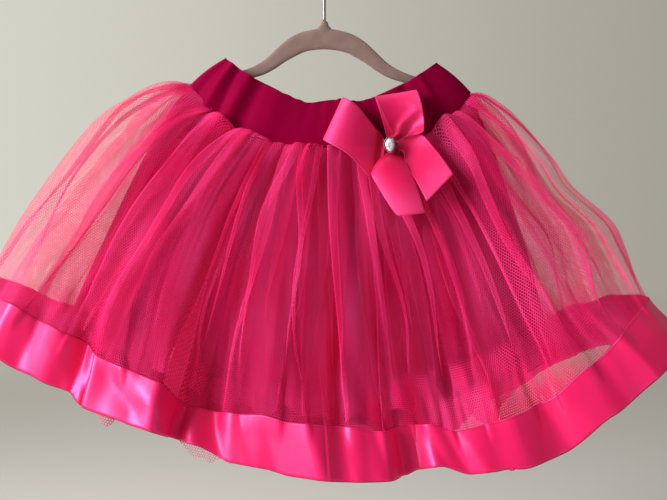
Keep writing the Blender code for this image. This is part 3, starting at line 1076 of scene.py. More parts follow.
def hem_fold(turn: Array, column: str) -> Array:
    """One column of the fold table, eased between the table's rows.

    Args:
        turn: places round the hem.
        column: depth, rise or tip.

    Returns:
        The value at each place, in metres.
    """
    places = np.array([fold.turn for fold in HEM_FOLDS])
    values = np.array([getattr(fold, column) for fold in HEM_FOLDS])
    turn = (turn - places[0]) % 1 + places[0]
    index = np.clip(np.searchsorted(places, turn, side="right") - 1, 0, len(places) - 2)
    ease = smooth_step((turn - places[index]) / (places[index + 1] - places[index]))
    return values[index] * (1 - ease) + values[index + 1] * ease


@dataclass
class Spots:
    """Where a cloth's points lie: their turns, shares of the length, distances from the
    seam and the form's normals there."""

    placed: Array
    share: Array
    from_seam: Array
    normals: Array


@dataclass
class GatheredCloth:
    """A strip of cloth gathered into the seam, closed into a tube.

    sink is how far the folds lie inside the form, in their own size. depth_scale and
    follows_hem make an inner layer's folds smaller. The covers say how many threads
    stop light: everywhere, and how many more at the sides, the hem and the seam.
    """

    table: FormTable
    cut_width: float
    plan: FoldPlan
    gathers: tuple[Gathers, ...]
    facets: tuple[Facet, ...] = ()
    columns: int = 1100
    sink: float = 0.55
    depth_scale: float = 1.0
    side_puff: float = 0.0
    seam_lobes: tuple[Lobe, ...] = ()
    follows_hem: float = 1.0
    thread_cover: float = 0.25
    side_cover: float = 0.45
    hem_cover: float = 0.0
    seam_cover: float = 0.9
    # sparser stretches of net: partly fewer plies, partly painted shade that lets the dark lining show
    thinned_and_shaded: tuple[OpeningAndShade, ...] = ()
    lines: list[FoldLine] = field(init=False)
    places: Array = field(init=False)  # each fold line's place on the cut, 0 to 1
    room: Array = field(init=False)  # how far it is to its nearer neighbour
    turn: Array = field(init=False)  # where each column comes out, in turns

    LOCAL = 0.045  # metres: swings longer than this come from the form instead
    TURN_BACK = 0.95 * math.pi  # how far round the cloth turns in a lap
    MOST_LAP, REACH = 0.015, 0.034  # metres: a lap's greatest half width, and how far it acts
    WOBBLE = 0.0020  # metres: how far a fold line strays to and fro on its way down
    PRESS = 0.002  # metres: how far the bow dents the cloth
    BOW_X, BOW_Z = (0.058, 0.050), (-0.188, 0.042)  # the bow's middle and half its spread
    # The share of the length at which something begins, and over how much more it grows:
    HELD = (0.45, 0.35)  # the laps that the hem keeps open
    FLAT = (0.55, 0.25)  # the hem's facets
    TIPS = (0.45, RIBBON_TOP - 0.45)  # the net that the ribbon's tip draws along
    RISEN = (0.6, 0.3)  # the folds that no longer hang inside the form
    GROWN = (HEM_FOLD_START, 1 - HEM_FOLD_START)  # the hem's own folds
    LIE_TURNS, LAP_TURNS = 10, 12  # rounds of settling the columns, and of fitting the laps

    def __post_init__(self) -> None:
        """Finds where each column comes out, and each fold line's place on the cut."""
        s = self.cut_share()
        self.lines = self.plan.lines()
        self.places = np.array([line.turn for line in self.lines]) % 1.0
        self.turn = s.copy()
        gaps = apart(np.roll(self.places, -1), self.places)
        self.room = np.minimum(gaps, np.roll(gaps, 1))
        turns = np.array([line.turn for line in self.lines])
        for _ in range(self.LIE_TURNS):
            drift = self.swings(np.ones((1, self.columns)), self.turn)[2]
            self.turn = s + low_pass(drift, self.LOCAL / self.cut_width)[0]
            lands = np.interp(self.places, s, self.turn)
            self.places = (self.places + apart(turns, lands)) % 1.0

    def cut_share(self) -> Array:
        """Each column's place across the cut, 0 to 1."""
        return np.arange(self.columns) / self.columns

    def folded(self, level: Array, gain: Array) -> Array:
        """The heading's swing where the cloth doubles back.

        It is nearly half a turn over each lap, whose half width is gain * room, and back.

        Args:
            level: each row's share of the length.
            gain: how wide the laps are in each row.

        Returns:
            The swing in radians, a row for each level.
        """
        s = self.cut_share()
        drift = np.array([line.drift for line in self.lines])
        number = np.arange(len(self.lines))
        wobble = np.sin(TAU * (1.1 + 0.6 * np.sin(number * 5.1)) * level + number * 2.4)
        wobble = self.WOBBLE * wobble * smooth_step(level / 0.3) * smooth_step((1.05 - level) / 0.3)
        place = self.places + drift * np.sin(math.pi * level) ** 2 + wobble
        held = np.array([line.lap for line in self.lines]) / 2 * eased(level, *self.HELD)
        half = np.minimum(gain * (self.room * self.cut_width), self.MOST_LAP) + held
        total = np.zeros((len(level), self.columns))
        for n, line in enumerate(self.lines):
            away = apart(s[None], place[:, n : n + 1]) * self.cut_width
            near = np.abs(away) < self.REACH
            lap = window(away[near], np.broadcast_to(half[:, n : n + 1], away.shape)[near], FoldPlan.SOFT)
            total[near] += line.overlap.value * self.TURN_BACK * lap
        return total

    def swings(self, share: Array, turn: Array) -> tuple[Array, Array, Array]:
        """Where the folds carry each point from its column.

        The cloth's heading h swings about the ring's own direction, so that
        x = integral of cos h and y = -integral of sin h along the cut. The laps are
        widened in each row until the whole strip ends where its ring does.

        Args:
            share: each point's share of the length.
            turn: each column's turn.

        Returns:
            How far each point lies along the ring and out from it, in metres, and
            how far it has run ahead of an even spread, in turns.
        """
        s = self.cut_share()
        base = self.table.read(self.table.points, np.broadcast_to(turn, share.shape), share)
        edge = np.linalg.norm(np.roll(base, -1, axis=1) - base, axis=2).sum(axis=1)
        level = share.mean(axis=1, keepdims=True)
        loose = sum(g.heading(s[None], level) for g in self.gathers)
        flat = sum((f.heading(turn, level) for f in self.facets), np.zeros((1, 1)))
        loose = loose + eased(level, *self.FLAT) * flat
        ratio = (edge / self.cut_width)[:, None]
        low, high = np.zeros_like(ratio), np.full_like(ratio, 0.5)
        for _ in range(self.LAP_TURNS):
            gain = (low + high) / 2
            slack = np.cos(loose + self.folded(level, gain)).mean(axis=1, keepdims=True) > ratio
            low, high = np.where(slack, gain, low), np.where(slack, high, gain)
        heading = loose + self.folded(level, low)
        step = self.cut_width / self.columns
        ahead = np.cumsum(np.cos(heading), axis=1) * step
        ahead = ahead - ahead[:, :1]
        total = ahead[:, -1:] + step * np.cos(heading[:, -1:])
        drift = (ahead - total * s) / edge[:, None]
        out = -np.cumsum(np.sin(heading), axis=1) * step
        out = out - out.mean(axis=1, keepdims=True)
        out = out - (out[:, -1:] - out[:, :1]) * s
        width = self.LOCAL / self.cut_width
        along = (drift - low_pass(drift, width)) * edge[:, None]
        return along, out - low_pass(out, width), drift

    def surface(self, share: Array) -> Surface:
        """The folded cloth.

        Args:
            share: shares of its length, a row for each.

        Returns:
            Its points, their places on the cut and their cover.
        """
        share = np.broadcast_to(share, (share.shape[0], self.columns))
        along, out, _ = self.swings(share, self.turn)
        turn = np.broadcast_to(self.turn, share.shape)
        placed = turn + along / self.table.read(self.table.speed, turn, share)
        points = self.table.read(self.table.points, placed, share)
        normals = self.table.read(self.table.normals, placed, share)
        normals /= np.linalg.norm(normals, axis=2, keepdims=True)
        from_seam = share * self.table.lengths(self.turn)
        spots = Spots(placed, share, from_seam, normals)
        grown = eased(share, *self.GROWN) * self.follows_hem
        tip = eased(share, *self.TIPS) * np.clip((1 - share) / (1 - RIBBON_TOP), 0, 1)
        tip = tip * hem_fold(placed, "tip") * self.follows_hem
        depth = self.depth(out, spots) + grown * hem_fold(placed, "depth") * 0.8 - 0.7 * tip
        pressed = self.under_bow(points)
        depth = np.where(depth > 0, depth * (1 - 0.9 * pressed), depth) - self.PRESS * pressed
        points = points + depth[..., None] * normals
        points[..., 2] += grown * hem_fold(placed, "rise") - tip
        points = self.settled(points, grown)
        if self.seam_lobes:
            points += self.lobes(spots) * (1 - pressed[..., None])
        facing = np.abs((grid_normals(points, True) * normals).sum(axis=2))
        across = np.append(self.cut_share(), 1.0) * self.cut_width
        down = np.concatenate([from_seam, from_seam[:, :1]], axis=1)
        return Surface(points, stacked(across, down), True, self.cover(facing, spots))

    def depth(self, out: Array, spots: Spots) -> Array:
        """How far the gathers stand out from the form.

        They are pressed flat near the seam and hang inside the form above the hem, most
        of all at the left, and the whole layer puffs out at the sides.

        Args:
            out: how far the swings carry each point outwards.
            spots: where the points lie.

        Returns:
            Metres along the form's normal.
        """
        puffed = 0.30 + 0.70 * smooth_step(spots.from_seam / 0.030)
        size = np.sqrt((out**2).mean(axis=1, keepdims=True))
        side = np.sin(TAU * spots.placed)
        sunk = self.sink * (1 + 0.7 * side) * size * (1 - eased(spots.share, *self.RISEN))
        bulge = np.abs(side) ** 3 * (1 - 0.25 * side) * np.sin(math.pi * np.clip(spots.share, 0, 1))
        return (out - sunk) * puffed * self.depth_scale + self.side_puff * bulge

    def cover(self, facing: Array, spots: Spots) -> Array:
        """How much of the light the threads stop.

        1 - (1 - thread cover) ^ (density / facing), as layers seen aslant close up.

        Args:
            facing: 1 where the cloth lies along the form, 0 where it stands across it.
            spots: where the points lie.

        Returns:
            The cover, 0 to 1.
        """
        placed, share = spots.placed, spots.share
        aside = eased(np.abs(np.sin(TAU * placed)), 0.50, 0.30)
        bunched = 4.5 * bell(apart(placed, 0.110), 0.044, 4) * eased(share, 0.77, 0.08)
        dense = 1 + self.side_cover * aside + self.hem_cover * (bunched + eased(share, 0.80, 0.12))
        # sparser net where the lining shows: partly fewer plies, partly painted shade in shaded fold valleys
        for open_and_shaded in self.thinned_and_shaded:
            dense = dense * open_and_shaded.kept(placed, share)
        dense = dense * (1 + self.seam_cover * bell(spots.from_seam, 0.014))
        return 1 - (1 - self.thread_cover) ** (dense / np.maximum(facing, 0.30 + 0.20 * aside))

    def lobes(self, spots: Spots) -> Array:
        """The round puffs over the seam.

        Each point's share of the way across its lobe gives a dome of
        (1 - (2 part - 1)^2)^0.6, which rises and stands out near the seam.

        Args:
            spots: where the points lie.

        Returns:
            How far each point moves.
        """
        starts = np.array([lobe.start for lobe in self.seam_lobes])
        rises = np.array([lobe.rise for lobe in self.seam_lobes])
        ends = np.append(starts[1:], starts[0] + 1)
        turn = (spots.placed - starts[0]) % 1 + starts[0]
        which = np.searchsorted(starts, turn.ravel(), side="right").reshape(turn.shape) - 1
        part = (turn - starts[which]) / (ends - starts)[which]
        dome = np.clip(1 - (2 * part - 1) ** 2, 0, 1) ** 0.6
        dome = dome * (1 - eased(np.abs(np.sin(TAU * turn)), 0.86, 0.12))
        rise = dome * (rises[which] + 0.001)
        near = spots.from_seam / 0.0055
        up = rise * near * np.exp(1 - near)
        forward = (0.60 * rise + 0.002 * dome) * smooth_step(spots.from_seam / 0.006)
        forward = forward * np.exp(-spots.from_seam / 0.020)
        return up[..., None] * UP + forward[..., None] * spots.normals

    @staticmethod
    def settled(points: Array, grown: Array) -> Array:
        """Hangs the right end of the hem closer in and lower, and puffs the net over it.

        Args:
            points: the cloth.
            grown: how far each point has come towards the hem.

        Returns:
            The cloth as it hangs.
        """
        moved = points.copy()
        x, z = points[..., 0], points[..., 2]
        right = eased(x, 0.250, 0.085) * grown
        swell = 0.005 * bell(z + 0.250, 0.018) - 0.007 * bell(z + 0.212, 0.020)
        swell = swell - 0.013 * bell(z + 0.316, 0.028)
        moved[..., 0] += eased(x, 0.18, 0.06) * swell - 0.003 * right
        moved[..., 2] -= 0.004 * right
        return moved

    def under_bow(self, points: Array) -> Array:
        """1 where the bow presses the cloth flat, 0 away from it."""
        (x, wide), (z, high) = self.BOW_X, self.BOW_Z
        return bell(points[..., 0] - x, wide, 4) * bell(points[..., 2] - z, high, 4) * (points[..., 1] < 0)


# ---------------------------------------------------------------- nets and lining
def seam_rows(count: int, length: float = 0.27) -> Array:
    """Shares from the seam down, close together where the cloth puffs out.

    Args:
        count: how many even rows follow the close ones.
        length: the cloth's usual length.

    Returns:
        A column of shares.
    """
    near = np.array([0, 1.5, 3, 5, 7.5, 10.5, 14, 18, 23, 29, 36]) / 1000 / length
    return np.concatenate([near[:-1], np.linspace(near[-1], 1, count)])[:, None]


@dataclass
class NetLayers:
    """The outer net with its ribbon hem, and the nets inside it."""

    net_short: float = 0.006  # how far the outer net ends above the ribbon's edge
    ribbon_off: float = 0.0011  # how far the ribbon lies off the net
    ribbon_wall: float = 0.0004
    outer_cut: float = 1.70
    inner_cut: float = 1.60

    OUTER = (
        SEAM,
        Ring(0.182, -0.0020, 0.030, -0.058, 0.050, -0.108, -0.198, -0.200, 3.0),
        Ring(0.283, -0.0045, 0.045, -0.124, 0.060, -0.275, -0.330, -0.350, 2.2),
        Ring(0.330, 0.0050, 0.050, -0.152, 0.047, -0.340, -0.4535, -0.465, 2.2),
    )
    INNER = (
        SEAM,
        Ring(0.170, -0.0020, 0.028, -0.050, 0.040, -0.120, -0.208, -0.208, 3.0),
        Ring(0.262, -0.0060, 0.045, -0.104, 0.042, -0.272, -0.336, -0.352, 2.2),
        Ring(0.303, 0.0000, 0.050, -0.124, 0.022, -0.342, -0.450, -0.452, 2.2),
    )
    SHORT = (
        SEAM,
        Ring(0.160, 0.0000, 0.026, -0.046, 0.034, -0.134, -0.212, -0.210, 3.0),
        Ring(0.235, -0.0050, 0.045, -0.096, 0.034, -0.262, -0.330, -0.340, 2.2),
        Ring(0.272, -0.0020, 0.050, -0.110, 0.016, -0.330, -0.425, -0.430, 2.2),
    )
    OUTER_LINES = records(
        FoldLine,
        (-0.272, RIGHT, 0.0, 0.004), (-0.199, LEFT, 0.0, 0.008), (-0.170, RIGHT, 0.0, 0.006),
        (-0.142, RIGHT, 0.006, -0.004), (-0.122, LEFT, 0.0, -0.008), (-0.0955, LEFT, 0.012, 0.004),
        (-0.084, RIGHT, 0.0, 0.004), (-0.064, RIGHT, 0.0, 0.006), (-0.047, RIGHT, 0.0, -0.008),
        (-0.029, LEFT, 0.0, 0.006), (-0.010, LEFT, 0.0, -0.006), (0.012, RIGHT, 0.0, 0.004),
        (0.0405, LEFT, 0.010, 0.002), (0.057, RIGHT, 0.0, 0.004), (0.078, LEFT, 0.0, 0.008),
        (0.100, RIGHT, 0.0, 0.008), (0.129, LEFT, 0.0, 0.005), (0.148, RIGHT, 0.0, -0.003),
        (0.172, LEFT, 0.0, -0.010), (0.198, LEFT, 0.0, 0.006), (0.224, RIGHT, 0.0, 0.004),
        (0.251, RIGHT, 0.0, 0.000), (0.333, LEFT, 0.010, 0.006), (0.470, RIGHT, 0.007, -0.006),
        (0.657, RIGHT, 0.010, 0.006),
    )
    FACETS = records(
        Facet,
        (-0.225, -0.205, -0.20), (-0.205, -0.186, 1.00), (-0.186, -0.164, 0.55, 0.008),
        (-0.164, -0.149, 0.95, 0.012), (-0.141, -0.124, 0.05, 0.030),
        (-0.124, -0.106, -0.30, 0.034), (-0.106, -0.100, 0.55), (-0.091, -0.080, 0.10, 0.006),
        (-0.080, -0.064, 0.62, 0.010), (-0.064, -0.050, -0.40, 0.004),
        (-0.050, -0.034, 0.05, 0.008), (-0.034, -0.009, -0.30, 0.010), (-0.009, 0.012, 0.80, 0.008),
        (0.012, 0.031, 1.00, 0.006), (0.054, 0.064, 0.30, 0.010), (0.064, 0.076, -0.60, 0.010),
        (0.076, 0.089, -1.10, 0.010), (0.089, 0.106, -0.62, 0.010), (0.106, 0.126, -0.50, 0.009),
        (0.126, 0.138, -0.55, 0.008), (0.138, 0.154, -1.20, 0.008), (0.154, 0.176, -0.78, 0.006),
        (0.176, 0.198, -1.00, 0.006), (0.198, 0.215, -0.25), (0.232, 0.250, 0.25),
        (0.258, 0.281, -0.18), (0.290, 0.300, 0.40), (0.304, 0.322, -0.30), (0.342, 0.361, 0.20),
        (0.368, 0.377, -0.45), (0.380, 0.405, 0.16), (0.412, 0.421, -0.40), (0.425, 0.448, 0.12),
        (0.455, 0.463, 0.42), (0.480, 0.502, -0.20), (0.508, 0.517, 0.46), (0.524, 0.547, -0.14),
        (0.555, 0.566, -0.38), (0.572, 0.598, 0.18), (0.604, 0.612, 0.44), (0.616, 0.640, -0.16),
        (0.668, 0.678, -0.42), (0.684, 0.706, 0.18), (0.712, 0.722, 0.36), (0.730, 0.752, -0.15),
    )
    OUTER_GATHERS = (
        Gathers(31, ((0, 0.25), (0.3, 0.26), (0.75, 0.26), (0.9, 0.10), (1.0, 0.06)), 1.3, 0.9, 23),
        Gathers(83, ((0, 0.40), (0.12, 0.30), (0.4, 0.12), (0.85, 0.04), (1.0, 0.0)), 1.5, 0.9, 37),
        Gathers(25, ((0, 0.0), (0.5, 0.1), (0.85, 0.16), (1.0, 0.16)), 1.0, 1.0, 41),
    )
    LOBES = records(
        Lobe,
        (-0.235, 0.0010), (-0.193, 0.0062), (-0.147, 0.0038), (-0.087, 0.0012), (-0.062, 0.0006),
        (-0.034, 0.0012), (-0.010, 0.0026), (0.015, 0.0020), (0.040, 0.0030), (0.072, 0.0024),
        (0.096, 0.0034), (0.126, 0.0060), (0.158, 0.0115), (0.196, 0.0100), (0.240, 0.0010),
        (0.285, 0.0040), (0.318, 0.0026), (0.356, 0.0036), (0.384, 0.0024), (0.427, 0.0044),
        (0.461, 0.0022), (0.490, 0.0034), (0.532, 0.0024), (0.561, 0.0040), (0.604, 0.0026),
        (0.640, 0.0046), (0.687, 0.0024), (0.722, 0.0016),
    )
    # Sparser stretches of net: partly where the cloth lies in fewer plies, partly painted shade that darkens
    # fold valleys right of the front.
    OPENINGS_AND_SHADE = (
        OpeningAndShade(-0.112, -0.066, 0.009, 0.35),
        OpeningAndShade(0.050, 0.053, 0.014, 0.65),
        OpeningAndShade(0.092, 0.084, 0.018, 0.40),
        OpeningAndShade(0.125, 0.112, 0.018, 0.45),
    )
    INNER_PLAN = FoldPlan((FoldLine(0.0, LEFT), FoldLine(0.31, RIGHT), FoldLine(0.66, LEFT)), 36, 53)
    INNER_GATHERS = (
        Gathers(29, ((0, 0.3), (0.5, 0.45), (1.0, 0.4)), 1.3, 0.9, 59),
        Gathers(71, ((0, 0.4), (0.4, 0.35), (1.0, 0.25)), 1.4, 0.9, 67),
    )
    SHORT_PLAN = FoldPlan((FoldLine(0.02, RIGHT), FoldLine(0.36, RIGHT), FoldLine(0.70, LEFT)), 32, 71)
    SHORT_GATHERS = (
        Gathers(26, ((0, 0.3), (0.5, 0.45), (1.0, 0.4)), 1.2, 0.9, 79),
        Gathers(62, ((0, 0.4), (0.4, 0.35), (1.0, 0.3)), 1.4, 0.9, 83),
    )

    def outer_cloth(self) -> GatheredCloth:
        """The outer net's folded strip.

        Returns:
            The strip.
        """
        return GatheredCloth(
            FormTable(self.OUTER, 0.0),
            self.outer_cut,
            FoldPlan(self.OUTER_LINES, 42, 11),
            self.OUTER_GATHERS,
            self.FACETS,
            side_puff=0.0055,
            seam_lobes=self.LOBES,
            thread_cover=0.155,
            hem_cover=0.35,
            side_cover=0.50,
            thinned_and_shaded=self.OPENINGS_AND_SHADE,
        )

    def inner_cloth(
        self, rings: Sequence[Ring], inset: float, plan: FoldPlan, gathers: tuple[Gathers, ...]
    ) -> GatheredCloth:
        """An inner net's folded strip.

        Args:
            rings: the seam and the three rings below it.
            inset: how far inside the seam it starts.
            plan: its fold lines.
            gathers: its finer folds.

        Returns:
            The strip.
        """
        return GatheredCloth(
            FormTable(rings, inset),
            self.inner_cut,
            plan,
            gathers,
            columns=900,
            follows_hem=0.7,
            thread_cover=0.085,
            side_cover=0.78,
            hem_cover=1.5,
        )

    def build(self, band: Piece) -> None:
        """Makes the nets and the ribbon hem.

        Args:
            band: the waistband that they are sewn to.
        """
        net = NetFinish().material("pink_net")
        self.outer(net)
        inner = self.inner_cloth(self.INNER, 0.0015, self.INNER_PLAN, self.INNER_GATHERS)
        self.inner("inner_net_cloth", inner, self.ragged, net, band)
        short = self.inner_cloth(self.SHORT, 0.0030, self.SHORT_PLAN, self.SHORT_GATHERS)
        self.inner("short_net_cloth", short, self.stepped, net, band)

    def outer(self, net: Material) -> None:
        """The outer net and its ribbon, which share their folds.

        Args:
            net: the net's finish.
        """
        cloth = self.outer_cloth()
        length = cloth.table.lengths(cloth.turn)
        ribbon_top = 1 - RIBBON_WIDTH / length
        upper = seam_rows(44) * ribbon_top
        lower = ribbon_top + (1 - ribbon_top) * np.linspace(0, 1, 10)[1:, None]
        share = np.concatenate([upper, np.minimum(lower[:-1], 1 - self.net_short / length)])
        obj = show(grid_mesh("outer_net_cloth", cloth.surface(share)), net, "net", "outer_net")
        ribbon = self.ribbon(cloth, ribbon_top)

    def ribbon(self, cloth: GatheredCloth, ribbon_top: Array) -> Piece:
        """The satin ribbon, laid on the net's lowest stretch.

        Args:
            cloth: the outer net.
            ribbon_top: the share of each column's length at which the ribbon begins.

        Returns:
            The ribbon.
        """
        rows = np.array([0, 0.03, 0.07, 0.13, 0.22, 0.32, 0.43, 0.54, 0.65, 0.76, 0.86, 0.94, 1.0])
        share = ribbon_top + (1 - ribbon_top) * rows[:, None]
        laid = cloth.surface(share).moved(self.ribbon_off)
        laid.cut[..., 1] -= laid.cut[:1, :, 1]
        obj = grid_mesh("hem_ribbon_satin", laid)
        add_wall(obj, self.ribbon_wall)
        finish = SatinFinish(colour=(0.82, 0.003, 0.080), pale=(0.95, 0.013, 0.140), width=RIBBON_WIDTH)
        show(obj, finish.material("hem_satin"), "ribbon", "hem_ribbon")
        return obj

    def inner(
        self,
        name: str,
        cloth: GatheredCloth,
        end: Callable[[Array], Array],
        net: Material,
        band: Piece,
    ) -> None:
        """One net inside the outer one, with a raw lower edge.

        Args:
            name: the piece's name.
            cloth: its folded strip.
            end: the share of its length at which it ends, for each turn.
            net: its finish.
            band: the waistband; not used.
        """
        share = seam_rows(38) * end(cloth.turn)
        obj = show(grid_mesh(name, cloth.surface(share)), net, "net", "inner_net")

    @staticmethod
    def ragged(turn: Array) -> Array:
        """Where the long inner net ends: below the ribbon in places, and uneven.

        Args:
            turn: places round the skirt.

        Returns:
            The share of the length for each.
        """
        low = 0.080 * bell(apart(turn, -0.078), 0.022) + 0.060 * bell(apart(turn, -0.140), 0.014)
        low = low + 0.060 * bell(apart(turn, 0.115), 0.035, 4)
        return 0.985 + low + 0.018 * ripple(turn, np.zeros(1), (30, 90), 0.0, 5)

    @staticmethod
    def stepped(turn: Array) -> Array:
        """Where the short inner net ends: well above the hem."""
        low = 0.050 * bell(apart(turn, 0.105), 0.030, 4)
        return 0.955 + low + 0.03 * ripple(turn, np.zeros(1), (5, 40), 0.0, 9)


@dataclass
class Lining:
    """The opaque lining, narrower and shorter than the nets."""

    cut_width: float = 1.15
    wall: float = 0.0005
    inset: float = 0.0042

    RINGS = (
        SEAM,
        Ring(0.152, 0.0030, 0.025, -0.043, 0.030, -0.148, -0.216, -0.214, 3.0),
        Ring(0.192, -0.0060, 0.045, -0.084, 0.026, -0.262, -0.332, -0.340, 2.2),
        Ring(0.222, -0.0120, 0.055, -0.098, 0.008, -0.362, -0.421, -0.424, 2.0),
    )
    PLAN = FoldPlan((FoldLine(0.03, LEFT), FoldLine(0.53, RIGHT)), 22, 97)
    GATHERS = (Gathers(17, ((0, 0.3), (0.5, 0.45), (1.0, 0.5)), 0.9, 0.8, 103),)

    def build(self, band: Piece) -> None:
        """Makes the lining.

        Args:
            band: the waistband that it is sewn to; not used.
        """
        cloth = GatheredCloth(
            FormTable(self.RINGS, self.inset),
            self.cut_width,
            self.PLAN,
            self.GATHERS,
            columns=620,
            depth_scale=0.55,
            follows_hem=0.4,
        )
        surface = cloth.surface(seam_rows(26) * self.end(cloth.turn))
        surface.cover = None
        obj = grid_mesh("lining_cloth", surface)
        add_wall(obj, self.wall)
        show(obj, LiningFinish().material("lining_satin"), "lining", "lining")

    @staticmethod
    def end(turn: Array) -> Array:
        """Where the lining ends: it hangs lower a little to either side of the front."""
        longer = 0.06 * bell(apart(turn, 0.110), 0.045, 4) + 0.035 * bell(apart(turn, 0.080), 0.025)
        return 1 + longer + 0.055 * bell(apart(turn, -0.080), 0.045, 4)


# ---------------------------------------------------------------- waistband
@dataclass(frozen=True)
class BandFold:
    """A soft fold across the band: its turn, slant, width in turns and depth."""

    turn: float
    slant: float
    width: float
    depth: float


@dataclass
class Waistband:
    """The elastic band of the skirt, drawn in at its top."""

    wall: float = 0.0025
    depth: float = 0.040
    cut_width: float = 0.56
    columns: int = 480
    rows: int = 26
    swell: float = 0.0016  # how far it bulges half way up
    rim_rows: int = 5

    FOLDS = records(
        BandFold,
        (-0.236, 0.008, 0.006, -0.0016), (-0.220, 0.012, 0.006, 0.0022),
        (-0.205, 0.016, 0.007, -0.0021), (-0.180, 0.006, 0.010, 0.0022),
        (-0.155, 0.002, 0.014, -0.0028), (-0.112, 0.000, 0.016, 0.0010),
        (0.105, -0.006, 0.014, 0.0010), (0.160, -0.010, 0.010, -0.0026),
        (0.195, -0.008, 0.008, 0.0018), (0.290, 0.008, 0.010, 0.0020),
        (0.330, 0.004, 0.010, -0.0026), (0.395, 0.000, 0.012, 0.0018),
        (0.450, 0.002, 0.008, -0.0018), (0.530, -0.004, 0.010, 0.0016),
        (0.600, 0.000, 0.012, -0.0022), (0.665, -0.006, 0.010, 0.0020),
        (0.715, -0.008, 0.008, -0.0022),
    )

    def build(self) -> Piece:
        """Makes the band as a hoop: its face, its rims and its inside.

        Returns:
            The band.
        """
        turn = np.arange(self.columns) / self.columns
        angle = SEAM.angles(turn)
        top, foot = BAND_TOP.points(angle), SEAM.points(angle)
        top[:, 2] += self.top_edge(top[:, 0], np.cos(angle))
        v = np.linspace(0, 1, self.rows)[:, None, None]
        face = top * (1 - v) + foot * v
        face = face + (self.swell * np.sin(math.pi * v) + self.folds(turn, v)) * grid_normals(face, True)
        normals = grid_normals(face, True)
        inside = face - self.wall * normals
        bend = np.linspace(0, math.pi, self.rim_rows + 2)[1:-1][:, None, None]
        along, beyond = self.wall / 2 * np.cos(bend), self.wall / 2 * np.sin(bend) * UP
        foot_rim = (face[-1] + inside[-1]) / 2 + along * normals[-1] - beyond
        top_rim = (face[0] + inside[0]) / 2 - along * normals[0] + beyond
        hoop = np.concatenate([face, foot_rim, inside[::-1], top_rim])
        across = np.arange(self.columns + 1) / self.columns * self.cut_width
        down = np.arange(len(hoop) + 1) * (self.depth / self.rows)
        obj = grid_mesh("waistband_jersey", Surface(hoop, stacked(across, down[:, None])), rings=True)
        show(obj, JerseyFinish().material("band_jersey"), "band", "waistband")
        return obj

    @staticmethod
    def top_edge(x: Array, facing: Array) -> Array:
        """How the elastic draws the top edge up and down, mostly in front.

        Args:
            x: places along the edge.
            facing: above 0 in front.

        Returns:
            How far each place is drawn up.
        """
        hump = 0.0055 * bell(x - 0.0130, 0.0140) - 0.0022 * bell(x - 0.013, 0.036)
        hump = hump - 0.0015 * bell(x + 0.016, 0.008)
        crimp = 0.0009 * np.sin(x * 520.0) * bell(x - 0.01, 0.045)
        behind = 0.0030 * np.sin(x * 95.0 + 0.6) * bell(x, 0.05) - 0.0055 * bell(x, 0.07)
        return np.where(facing > 0, hump + crimp, behind)

    def folds(self, turn: Array, v: Array) -> Array:
        """The band's folds: depth * exp(-((turn - fold - slant v) / width)^2), summed.

        Args:
            turn: each column's turn.
            v: each row's share of the way down.

        Returns:
            How far each point moves outwards.
        """
        total = np.zeros((v.shape[0], len(turn)))
        for fold in self.FOLDS:
            away = apart(turn[None] - fold.slant * v[..., 0], fold.turn)
            total = total + fold.depth * bell(away, fold.width)
        return total[..., None]


# ---------------------------------------------------------------- bow
@dataclass(frozen=True)
class Station:
    """A place along a bow's ribbon, from the bow's middle.

    Its middle, half of its width as a vector, its height off the skirt, how far its
    middle is dished, how far the row arches along the ribbon, and the height of a
    ridge across it with its place from -1 to 1. Columns of values stand for many.
    """

    x: float | Array
    z: float | Array
    half_x: float | Array
    half_z: float | Array
    lift: float | Array
    dish: float | Array = 0.0
    arch: float | Array = 0.0
    ridge: float | Array = 0.0
    ridge_at: float | Array = 0.0

    @classmethod
    def between(cls, stations: Sequence["Station"], count: int) -> "Station":
        """A ribbon's stations carried on to count smooth ones, as columns."""
        return cls(*spline([list(vars(station).values()) for station in stations], count).T[..., None])

    def row(self, sides: Array) -> tuple[Array, Array, Array]:
        """The ribbon's rows, with a ridge of exp(-((side - at) / 0.22)^2) and its trough.

        Args:
            sides: places across, -1 to 1.

        Returns:
            x, z and height off the skirt for each.
        """
        middle = 1 - sides**2
        long = np.hypot(self.half_x, self.half_z)
        x = self.x + self.half_x * sides - self.half_z / long * self.arch * middle
        z = self.z + self.half_z * sides + self.half_x / long * self.arch * middle
        ridge = bell(sides - self.ridge_at, 0.22) - 0.55 * bell(sides - self.ridge_at - 0.5, 0.28)
        return x, z, self.lift - self.dish * middle + self.ridge * ridge


